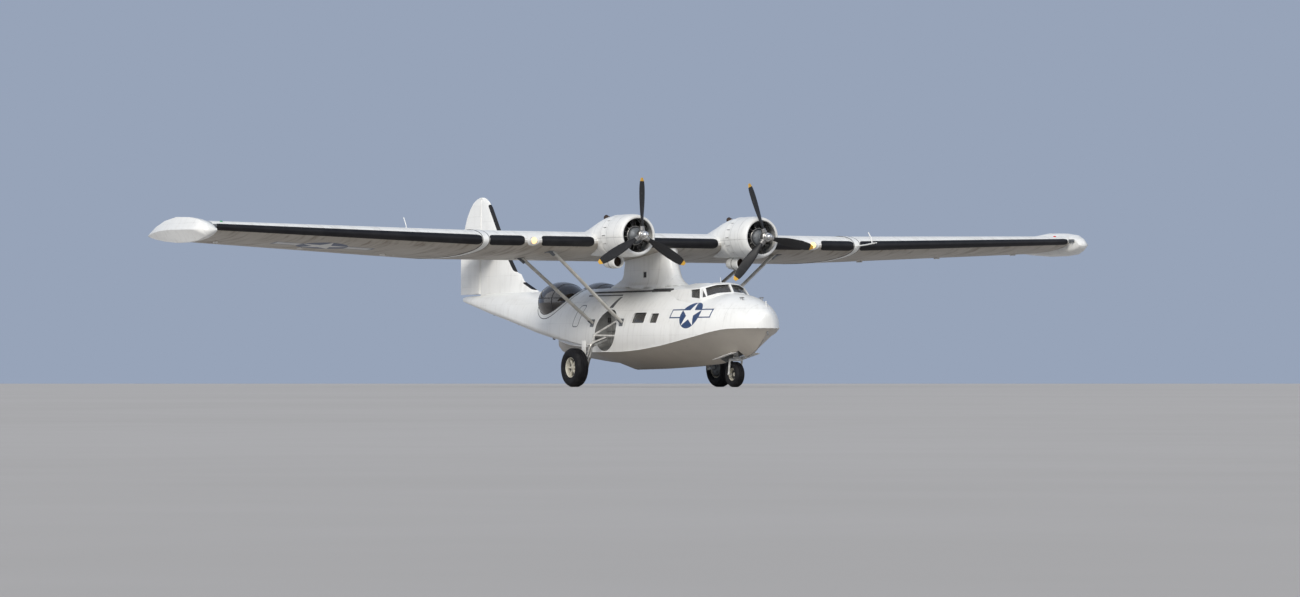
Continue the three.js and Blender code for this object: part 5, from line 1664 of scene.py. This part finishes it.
for word, side in SIDES:
    glass = cut(shell(side, -0.012, 0.0), hull_form(-0.003, 9.5, 13.1))
    done(glass, f"blister_{word}_glass", blister_glass, (f"blister_{word}",), 40)
    rim = ring_on_hull(side, -0.02, 0.045, 0.016)
    done(rim, f"blister_rim_{word}", gloss_white, (), 40)
    seal = ring_on_hull(side, -0.022, 0.010, 0.022)
    done(seal, f"blister_seal_{word}", seal_black, (), 40)
    outer_line = ring_on_hull(side, 0.105, 0.122, 0.006)
    done(outer_line, f"blister_line_{word}", seal_black, (), 40)
    arches = []
    for low, high in (
        (at(side * 0.9 - 0.9, 10.86, 1.9), at(side * 0.9 + 0.9, 10.89, 3.4)),
        (at(side * 0.9 - 0.9, 11.71, 1.9), at(side * 0.9 + 0.9, 11.74, 3.4)),
        (at(side * 0.9 - 0.9, 10.2, 2.78), at(side * 0.9 + 0.9, 12.4, 2.805)),
    ):
        arches.append(cut(cut(shell(side, -0.02, 0.006), block("slab", low, high), "INTERSECT"),
                          hull_form(-0.003, 9.5, 13.1)))
    done(joined(arches), f"blister_frames_{word}", panel_and_shade_black, (), 40)
print("blister faces:", len(glass.data.polygons))

# %% [markdown]
# ## Oil coolers and exhaust
# A cooler pod hangs under each nacelle. Its mouth is deep and dark with a honeycomb core, and a metal strap
# rings it. The exhaust is a bent stub on the nacelle's outer shoulder, brown with heat.

# %% Oil coolers
POD = (
    (0.150, 0.30), (0.150, 0.05), (0.158, 0.015), (0.172, 0.0), (0.186, 0.008), (0.196, 0.03), (0.200, 0.07),
    (0.202, 0.20), (0.200, 0.42), (0.188, 0.56), (0.165, 0.68), (0.130, 0.76), (0.095, 0.795), (0.088, 0.78),
    (0.120, 0.70), (0.150, 0.60), (0.150, 0.30),
)
for word, side in SIDES:
    mouth = at(side * ENGINE_X, 5.14, 3.80)
    pod = turned("pod", POD, mouth, (0, 1, 0), 56)
    done(pod, f"oil_cooler_{word}_skin", gloss_white, (f"oil_cooler_{word}",), 40)
    core = turned("core", ((0.0, 0.15), (0.149, 0.15), (0.149, 0.19), (0.0, 0.19)), mouth, (0, 1, 0), 40)
    cells = [core]
    for i in range(-4, 5):
        off = i * 0.032
        reach = math.sqrt(0.148**2 - off**2)
        upright = Vector((off - 0.003, 0.12, -reach)), Vector((off + 0.003, 0.16, reach))
        level = Vector((-reach, 0.125, off - 0.003)), Vector((reach, 0.16, off + 0.003))
        for low, high in (upright, level):
            cells.append(rounded_box("fin", mouth + low, mouth + high, 0.001, 1))
    done(joined(cells), f"cooler_core_{word}", exhaust_steel, (), 30)
    strap = turned("strap", ((0.2, 0.30), (0.207, 0.302), (0.207, 0.335), (0.2, 0.337), (0.2, 0.30)), mouth,
                   (0, 1, 0), 56)
    done(strap, f"cooler_strap_{word}", bare_steel, (), 30)

# %% Exhaust tailpipes
for word, side in SIDES:
    pipe = tube("pipe", bent([at(side * ENGINE_X, s, z) for s, z in
                              ((5.58, 4.93), (5.68, 5.04), (5.80, 5.12), (5.93, 5.165))], 6), 0.075, 8)
    end, back = at(side * ENGINE_X, 5.93, 5.165), Vector((0, -0.033, -0.011))
    lip = tube("lip", [end + back, end], 0.081, 8)
    band = tube("band", [end + back * 4.5, end + back * 3.4], 0.081, 8)
    done(joined([pipe, lip, band]), f"exhaust_{word}_skin", exhaust_steel,
         (f"exhaust_{word}",), 40)

# %% [markdown]
# ## Struts' ends
# Each wing strut ends in a fork with a pin. The fork's plate is bolted to the hull or to the wing's spar.
# One fitting is drawn for an end with a direction, and every strut gets two.

# %% Forks and pins
def bolted_plate(name, centre, normal, wide, tall, thick):
    """A rounded plate with four bolts, flat against a surface."""
    turn = Vector(normal).to_track_quat("Z", "Y").to_matrix().to_4x4()
    plate = rounded_box("plate", (-wide / 2, -tall / 2, -thick), (wide / 2, tall / 2, thick), thick * 0.7, 2)
    bolts = [plate]
    for i in (-1, 1):
        for j in (-1, 1):
            spot = Vector((i * wide * 0.36, j * tall * 0.36, thick))
            bolts.append(tube("bolt", [spot - Vector((0, 0, 0.004)), spot + Vector((0, 0, 0.008))], 0.009, 1))
    piece = joined(bolts)
    piece.name = name
    piece.data.transform(Matrix.Translation(Vector(centre)) @ turn)
    return piece


def across(spot, reach):
    """The two ends of a short line fore and aft through a spot."""
    return [spot - Vector((0, reach, 0)), spot + Vector((0, reach, 0))]


STRUT_ENDS = (((1.42, 6.22, 1.93), (4.05, 6.13, 4.16)), ((1.42, 8.02, 1.93), (4.12, 7.90, 3.96)))
for word, side in SIDES:
    fittings = []
    for (x0, s0, z0), (x1, s1, z1) in STRUT_ENDS:
        foot, head = at(side * x0, s0, z0), at(side * x1, s1, z1)
        way = (head - foot).normalized()
        for end, inward in ((foot, way), (head, -way)):
            fittings.append(tube("cuff", [end + inward * 0.07, end + inward * 0.24], 0.062, 4))
            fittings.append(tube("neck", [end + inward * 0.02, end + inward * 0.1], 0.045, 4))
            spot = end + inward * 0.03
            for off in (-0.045, 0.045):
                fittings.append(tube("lug", across(spot + Vector((0, off, 0)), 0.011), 0.052, 4))
            fittings.append(tube("pin", across(spot, 0.085), 0.02, 3))
        fittings.append(bolted_plate("plate", foot + way * 0.07, (side * 0.96, 0, 0.28), 0.2, 0.24, 0.01))
        spot, normal = skin_hit("wing_centre", head - Vector((0, 0, 0.6)), (0, 0, 1)) or (head, (0, 0, -1))
        fittings.append(bolted_plate("plate", spot, normal, 0.16, 0.34, 0.012))
    done(joined(fittings), f"strut_fittings_{word}", engine_grey, (), 35)

# %% [markdown]
# ## Nose doors
# Two thin doors hang open along the V bottom, one on each side of the nose wheel's bay. They are plates
# between four corners, with ribs on the side that faces the bay when shut and two short stays each.

# %% Doors beside the nose bay
for word, side in SIDES:
    fore_hinge, aft_hinge = at(side * 0.285, 1.36, 1.045), at(side * 0.285, 2.40, 0.855)
    out = Vector((side * 0.245, 0, -0.035))
    corners = [fore_hinge, aft_hinge, aft_hinge + out, fore_hinge + out]
    up = (corners[1] - corners[0]).cross(out).normalized() * side * 0.012
    door = prism("door", [tuple(c) for c in corners], (0, 0, 0), up, 0.035)
    parts = [door]
    for i in range(4):
        t = 0.14 + i * 0.24
        a = fore_hinge.lerp(aft_hinge, t) - up.normalized() * 0.004
        parts.append(tube("rib", [a + out * 0.08, a + out * 0.9], 0.009, 2))
    for t in (0.25, 0.75):
        a = fore_hinge.lerp(aft_hinge, t)
        parts.append(tube("hinge", [a - Vector((0, 0.05, 0)), a + Vector((0, 0.05, 0))], 0.014, 3))
        parts.append(tube("stay", [a + out * 0.6, a + Vector((-side * 0.02, 0, 0.07))], 0.008, 2))
    done(joined(parts), f"nose_door_{word}", gloss_white, (), 30)

# %% [markdown]
# ## Edges and fittings of the hull
# A rail runs along each chine and a steel strip along the keel. The bow carries a mooring eye and a short
# mast, two bollards stand on its deck, and a lamp closes the tail.

# %% Chine rails and the keel's strip
def hull_line(side, rows, keys, height, start, end):
    """Points at one of the heights of the hull's stations, on a side's beam or, with side 0, amidships."""
    made = []
    for s in spread(start, end, 40):
        row = between(rows, s, keys)
        made.append(at(side * row["beam"], s, row[height]))
    return made


for word, side in SIDES:
    rails = [tube("rail", hull_line(side, FORE, FORE_KEYS, "chine", 0.12, 7.86), 0.011, 2),
             tube("rail", hull_line(side, KEEL, KEEL_KEYS, "chine", 7.95, 12.3), 0.009, 2)]
    done(joined(rails), f"chine_rail_{word}", gloss_white, (), 40)
strips = [tube("strip", hull_line(0, FORE, FORE_KEYS, "keel", start, end), 0.013, 2)
          for start, end in ((0.3, 1.2), (2.5, 7.8))]
done(joined(strips), "keel_strip", bare_steel, (), 40)

# %% Bow fittings
def ring_eye(name, centre, radius, thick, turn):
    bpy.ops.mesh.primitive_torus_add(major_radius=radius, minor_radius=thick, major_segments=28,
                                     minor_segments=8, location=centre, rotation=turn)
    piece = bpy.context.object
    piece.name = name
    return apply_place(piece)


eye_bolt = tube("shank", [at(0, 0.10, 1.68), at(0, 0.075, 1.60)], 0.018, 3)
mooring = ring_eye("ring", at(0, 0.07, 1.575), 0.034, 0.009, (0, math.pi / 2, 0))
done(joined([eye_bolt, mooring]), "mooring_eye", engine_grey, (), 40)


def on_deck(x, station, rows, keys):
    """Height of the deck at a spot."""
    row = between(rows, station, keys)
    return row["knee"] + (row["deck"] - row["knee"]) * math.sqrt(max(0.0, 1 - (x / row["beam"]) ** 2))


mast_foot = at(0.12, 0.34, on_deck(0.12, 0.34, FORE, FORE_KEYS) - 0.02)
mast = [tube("mast", [mast_foot, mast_foot + Vector((0, 0.02, 0.15))], 0.013, 3),
        tube("cap", [mast_foot + Vector((0, 0.02, 0.145)), mast_foot + Vector((0, 0.022, 0.17))], 0.019, 3),
        tube("base", [mast_foot, mast_foot + Vector((0, 0.003, 0.032))], 0.032, 4)]
done(joined(mast), "bow_mast", gloss_white, (), 40)

for word, side in SIDES:
    foot = at(side * 0.34, 0.98, on_deck(0.34, 0.98, FORE, FORE_KEYS) - 0.01)
    parts = [tube("post", [foot + Vector((0, off, 0)), foot + Vector((0, off, 0.075))], 0.014, 3)
             for off in (-0.05, 0.05)]
    parts.append(tube("bar", bent([foot + Vector((0, -0.12, 0.07)), foot + Vector((0, 0, 0.082)),
                                   foot + Vector((0, 0.12, 0.07))], 5), 0.013, 3))
    done(joined(parts), f"bollard_{word}", bare_steel, (), 40)

# %% Rubber edges along the deck
def deck_edge(side, rows, keys, x, wide, tall, start, end):
    """A strip that stands on the deck beside the walkway."""
    rings = []
    for s in spread(start, end, 24):
        deck = [on_deck(x + off, s, rows, keys) for off in (-wide / 2, wide / 2)]
        ring = [(x - wide / 2, deck[0] - 0.01), (x + wide / 2, deck[1] - 0.01),
                (x + wide / 2 + tall * 0.3, deck[1] + tall), (x - wide / 2 + tall * 0.3, deck[0] + tall)]
        rings.append([at(side * a, s, z) for a, z in ring])
    return lofted("edge", rings)


for word, side in SIDES:
    edges = [deck_edge(side, FORE, FORE_KEYS, 0.70, 0.09, 0.05, 4.42, 5.6),
             deck_edge(side, FORE, FORE_KEYS, 0.70, 0.035, 0.03, 5.6, 7.88),
             deck_edge(side, REAR, REAR_KEYS, 0.70, 0.035, 0.03, 7.90, 9.2),
             deck_edge(side, FORE, FORE_KEYS, 0.86, 0.025, 0.015, 7.2, 7.88),
             deck_edge(side, REAR, REAR_KEYS, 0.86, 0.025, 0.015, 7.90, 9.3)]
    done(joined(edges), f"deck_edge_{word}", seal_black, (), 40)

# %% Canopy mast, tail lamp and step lamps
roof = skin_hit("cockpit_canopy", at(0, 2.75, 4.0), (0, 0, -1))[0]
whip = [tube("foot", [roof - Vector((0, 0, 0.01)), roof + Vector((0, 0.01, 0.03))], 0.02, 3),
        tube("whip", [roof, roof + Vector((0, 0.05, 0.16))], 0.008, 2)]
done(joined(whip), "canopy_mast", gloss_white, (), 40)
bpy.ops.mesh.primitive_uv_sphere_add(segments=20, ring_count=12, radius=0.04, location=at(0, 19.14, 2.91))
lamp = bpy.context.object
lamp.scale = (0.7, 1, 0.7)
done(lamp, "tail_lamp", landing_glow, (), 60)

# %% [markdown]
# ## Wing fittings
# The pressure head stands ahead of the port wing's joint on a bent arm, and a short mast leans back on the
# starboard wing. Small brackets carry the ailerons, and coloured lamps sit on the wing's ends.

# %% Pressure head and mast
boom_root = at(6.57, 5.50, 4.40)
tip = at(6.60, 4.50, 4.47)
arm = [tip + Vector(way) for way in ((0, 0.12, 0), (0, 0.18, 0.16), (0, 0.34, 0.34))]
head = [tube("boom", bent([boom_root, boom_root.lerp(tip, 0.5) + Vector((0, 0, -0.01)), tip], 6), 0.022, 4),
        tube("nozzle", [tip + Vector((0, 0.02, 0)), tip - Vector((0, 0.14, -0.008))], 0.014, 3),
        tube("arm", bent(arm, 6), 0.017, 3),
        tube("collar", [boom_root + Vector((0, -0.02, 0)), boom_root + Vector((0, -0.09, 0.003))], 0.036, 4)]
done(joined(head), "pressure_head", gloss_white, (), 40)

place, normal = skin_hit("wing_outer_right", at(-8.5, 6.9, 6.0), (0, 0, -1))
foot = tube("foot", [place - Vector((0, 0, 0.02)), place + Vector((0, 0.01, 0.04))], 0.035, 4)
mast = [place, place + Vector((0, 0.05, 0.15)), place + Vector((-0.02, 0.16, 0.36))]
mast = tube("mast", bent(mast, 5), 0.013, 3)
done(joined([foot, mast]), "wing_mast", gloss_white, (), 40)

# %% Aileron brackets and wing lamps
def streamlined(name, front, length, width, deep):
    """A small fairing, round in front and drawn out behind, hanging from a point."""
    shape = [(math.cos(t) * 0.28, math.sin(t) * 0.5) for t in spread(math.pi / 2, math.pi * 3 / 2, 8)]
    outline = [((0.28 + c) * length, w * width) for c, w in shape]
    outline += [(0.62 * length, -0.36 * width), (length, -0.02 * width), (length, 0.02 * width),
                (0.62 * length, 0.36 * width)]
    points = [(w, along, 0) for along, w in outline]
    piece = prism(name, points, Vector(front), Vector(front) - Vector((0, 0, deep)))
    return finish_with(piece, "BEVEL", width=min(width, deep) * 0.18, segments=2)


def hinge_line(x):
    """Station and height of the aileron's hinge at a distance from the centre line."""
    form = wing_section(x)
    back, up = section_point({**form, "ratio": 0.0}, 0.76, 1)
    return form["lead"] + back, form["z"] + up


for word, side in SIDES:
    brackets = []
    for x in (8.55, 11.4, 14.25):
        station, z = hinge_line(x)
        met = skin_hit(f"wing_outer_{word}", at(side * x, station - 0.42, z - 1), (0, 0, 1))
        if met:
            brackets.append(streamlined("bracket", met[0] + Vector((0, -0.12, 0.012)), 0.34, 0.05, 0.06))
    done(joined(brackets), f"aileron_brackets_{word}", gloss_white, (), 40)
    place, normal = skin_hit(f"wing_outer_{word}", at(side * 14.8, 6.5, 6.0), (0, 0, -1))
    bpy.ops.mesh.primitive_uv_sphere_add(segments=20, ring_count=12, radius=0.045, location=place)
    dome = bpy.context.object
    dome.scale = (0.8, 1.7, 0.7)
    done(dome, f"wing_lamp_{word}", red_glow if side > 0 else green_glow, (), 60)
print("aileron hinge at 11.4:", [round(v, 3) for v in hinge_line(11.4)])

# %% Float hinge blocks at the wing's ends
FLOAT_HINGE_X = 15.2
for word, side in SIDES:
    blocks = []
    x = side * FLOAT_HINGE_X
    for station in (6.02, 6.16):
        low, high = at(x - 0.05, station, 4.66), at(x + 0.05, station + 0.07, 4.76)
        blocks.append(rounded_box("block", low, high, 0.012, 2))
    blocks.append(tube("pin", [at(x, 5.99, 4.71), at(x, 6.26, 4.71)], 0.022, 3))
    done(joined(blocks), f"float_hinge_{word}", engine_grey, (), 35)

# %% [markdown]
# ## Small windows and the tail's underside
# The pylon has a small window on each side, an opaque black pane that is painted shade for the dark inside.
# Below the waist hang a tie-down bracket and two small vents.

# %% Pylon windows
for word, side in SIDES:
    met = skin_hit("pylon", at(side * 2.0, 6.66, 3.45), (-side, 0, 0))
    place, normal = met
    turn = normal.to_track_quat("Z", "Y").to_matrix().to_4x4()
    # The pane is matt black: painted shade for the pylon's dark inside.
    pane = rounded_box("pane", (-0.085, -0.085, -0.01), (0.085, 0.085, 0.006), 0.006, 2)
    pane.data.transform(Matrix.Translation(place) @ turn)
    done(pane, f"pylon_window_{word}", panel_and_shade_black, (), 30)
    turn = Matrix.Translation(place + normal * 0.002) @ turn
    around = ((-1, -1), (1, -1), (1, 1), (-1, 1), (-1, -1))
    edge = tube("frame", [turn @ Vector((0.105 * a, 0.105 * b, 0)) for a, b in around], 0.012, 2)
    done(edge, f"pylon_window_frame_{word}", gloss_white, (), 30)

# %% Tie-down and vents
tie = [tube("arm", [at(off, 13.05, 1.72), at(off * 0.4, 13.12, 1.56)], 0.014, 3) for off in (-0.07, 0.07)]
tie += [tube("arm", [at(0, 13.3, 1.76), at(0, 13.14, 1.56)], 0.014, 3),
        tube("wheel", [at(-0.03, 13.12, 1.55), at(0.03, 13.12, 1.55)], 0.05, 6)]
done(joined(tie), "tie_down", engine_grey, (), 40)
for i, (station, x) in enumerate(((14.9, -0.3), (16.9, -0.12))):
    met = skin_hit("rear", at(x, station, 0.5), (0, 0, 1))
    vent = streamlined("vent", met[0] + Vector((0, -0.05, 0.01)), 0.14, 0.05, 0.045)
    done(vent, f"tail_vent_{i + 1}", engine_grey, (), 40)

# %% [markdown]
# ## Behind the glass
# The cockpit can be seen through the panes, and the waist through the blisters. Hoops follow the hull's
# section inside, and the pilots have seats with stuffed leather cushions, yokes, a panel of dials and
# throttles overhead.

# %% Hoops inside the hull
def hoop(name, ring, station, inset, deep, thick=0.02):
    """A flat frame that follows the hull's section."""
    loops = [ring(station, inset), ring(station, inset + deep), ring(station + thick, inset + deep),
             ring(station + thick, inset)]
    count = len(loops[0])
    points = [p for loop in loops for p in loop]
    faces = []
    for r in range(4):
        for i in range(count):
            a, b = r * count + i, r * count + (i + 1) % count
            c, d = (r + 1) % 4 * count + (i + 1) % count, (r + 1) % 4 * count + i
            faces.append((a, b, c, d))
    return tidy_normals(meshed(name, points, faces))


def upper_half(ring, low):
    """A ring whose points are kept above a height, so that a hoop stands on the floor."""
    def raised(station, inset):
        return [Vector((p.x, p.y, max(p.z, low + inset * 0.2))) for p in ring(station, inset)]
    return raised


hoops = [hoop("hoop", upper_half(fore_ring, 1.75), s, 0.056, 0.06) for s in (4.62, 5.7)]
hoops += [hoop("hoop", upper_half(rear_ring, 1.745), s, 0.03, 0.06) for s in (9.75, 10.2, 12.45)]
done(joined(hoops), "hull_hoops", cabin_green, (), 30)

# %% [markdown]
# Each cushion is blown up by a short cloth simulation from a rounded block that is a little too small, and no
# point may move further than its cap.

# %% Stuffed cushions
SWELL = 0.022
STEPS = 14


def cushion(name, low, high):
    """A crowned pad between two corners."""
    low, high = Vector(low) + Vector((0.016,) * 3), Vector(high) - Vector((0.016,) * 3)
    piece = rounded_box(name, low, high, min(high - low) * 0.42, 4)
    finish_with(piece, "REMESH", mode="VOXEL", voxel_size=0.011)
    before = [v.co.copy() for v in piece.data.vertices]
    cloth = piece.modifiers.new("stuffing", "CLOTH")
    cloth.settings.use_pressure = True
    cloth.settings.uniform_pressure_force = 4
    cloth.settings.effector_weights.gravity = 0
    for step in range(1, STEPS + 1):
        bpy.context.scene.frame_set(step)
    hold(piece)
    bpy.ops.object.modifier_apply(modifier=cloth.name)
    bpy.context.scene.frame_set(1)
    for vertex, start in zip(piece.data.vertices, before):
        move = vertex.co - start
        if move.length > SWELL:
            vertex.co = start + move.normalized() * SWELL
    return finish_with(piece, "SUBSURF", levels=1)


seat_pad = cushion("seat_pad", at(-0.225, 2.715, 1.985), at(0.225, 3.115, 2.095))
back_pad = cushion("back_pad", at(-0.225, 3.085, 2.13), at(0.225, 3.185, 2.715))
print("cushion faces:", len(seat_pad.data.polygons), len(back_pad.data.polygons))
SEAT_RAIL = ((2.74, 1.975), (3.02, 1.972), (3.165, 2.03), (3.195, 2.4), (3.198, 2.7))
for word, side in SIDES:
    move = Matrix.Translation((side * SEAT_X, 0, 0))
    for part, pad in (("seat", seat_pad), ("back", back_pad)):
        one = copied(pad, f"pilot_{part}_cushion_{word}", move)
        nodes = (f"pilot_seat_{word}",) if part == "seat" else ()
        done(one, one.name, leather, nodes, 60)
    x = side * SEAT_X
    rails = []
    for off in (-0.205, 0.205):
        rail = [at(x + off, *spot) for spot in SEAT_RAIL]
        rails.append(tube("rail", bent(rail, 5), 0.013, 3))
        rails.append(tube("leg", [at(x + off * 0.8, 2.82, 1.745), at(x + off, 2.80, 1.965)], 0.013, 3))
        rails.append(tube("leg", [at(x + off * 0.8, 3.1, 1.745), at(x + off, 3.08, 1.965)], 0.013, 3))
    for station, z in ((2.8, 1.966), (3.08, 1.966), (3.195, 2.3), (3.198, 2.62)):
        rails.append(tube("bar", [at(x - 0.205, station, z), at(x + 0.205, station, z)], 0.011, 3))
    done(joined(rails), f"pilot_seat_frame_{word}", cabin_green, (), 40)
for left in (seat_pad, back_pad):
    bpy.data.objects.remove(left)

# %% Yokes on their beam
beam = [tube("beam", [at(-0.72, 2.30, 2.14), at(0.72, 2.30, 2.14)], 0.022, 4)]


def on_yoke(side, turn, reach=1.0):
    """A spot on a yoke's oval grip, or nearer its middle."""
    t = math.radians(turn)
    return at(side * SEAT_X + 0.15 * reach * math.cos(t), 2.39, 2.20 + 0.13 * reach * math.sin(t))


for side in (-1, 1):
    post = [at(side * 0.74, 2.31, 1.76), at(side * 0.74, 2.30, 2.0), at(side * 0.70, 2.30, 2.14)]
    beam.append(tube("post", bent(post, 5), 0.022, 4))
    beam.append(tube("grip", [on_yoke(side, turn) for turn in spread(-220, 40, 22)], 0.013, 3))
    x = side * SEAT_X
    beam.append(tube("shaft", [at(x, 2.29, 2.14), at(x, 2.395, 2.19)], 0.016, 3))
    for turn, reach in ((-150, 1.0), (-30, 1.0), (90, 0.05)):
        beam.append(tube("spoke", [at(x, 2.39, 2.19), on_yoke(side, turn, reach)], 0.009, 2))
done(joined(beam), "yokes", panel_and_shade_black, (), 40)

# %% Dials
rims, faces = [], []
for row, z in enumerate((2.30, 2.43, 2.55)):
    for i in range(9 if row else 11):
        x = (i - (4 if row else 5)) * 0.155
        radius = 0.052 if abs(x) > 0.2 else 0.04
        if abs(x) > 1.0:
            continue
        spot = at(x, 2.041, z)
        rims.append(tube("rim", [spot, spot + Vector((0, 0.012, 0))], radius, 6))
        face = [spot + Vector((0, 0.010, 0)), spot + Vector((0, 0.0135, 0))]
        faces.append(tube("face", face, radius * 0.84, 6))
done(joined(rims), "dial_rims", panel_and_shade_black, (), 40)
done(joined(faces), "dial_faces", lamp_white, (), 40)

# %% Throttles over the pilots
console = [rounded_box("console", at(-0.11, 2.72, 2.98), at(0.11, 2.98, 3.06), 0.02, 3)]
for i in range(4):
    x = -0.075 + i * 0.05
    console.append(tube("lever", [at(x, 2.84, 2.99), at(x, 2.80 + 0.02 * (i % 2), 2.86)], 0.007, 2))
    console.append(tube("knob", [at(x, 2.795 + 0.02 * (i % 2), 2.865), at(x, 2.79 + 0.02 * (i % 2), 2.835)],
                        0.017, 4))
done(joined(console), "throttles", panel_and_shade_black, (), 40)

# %% Leaving object mode with nothing selected
rest()
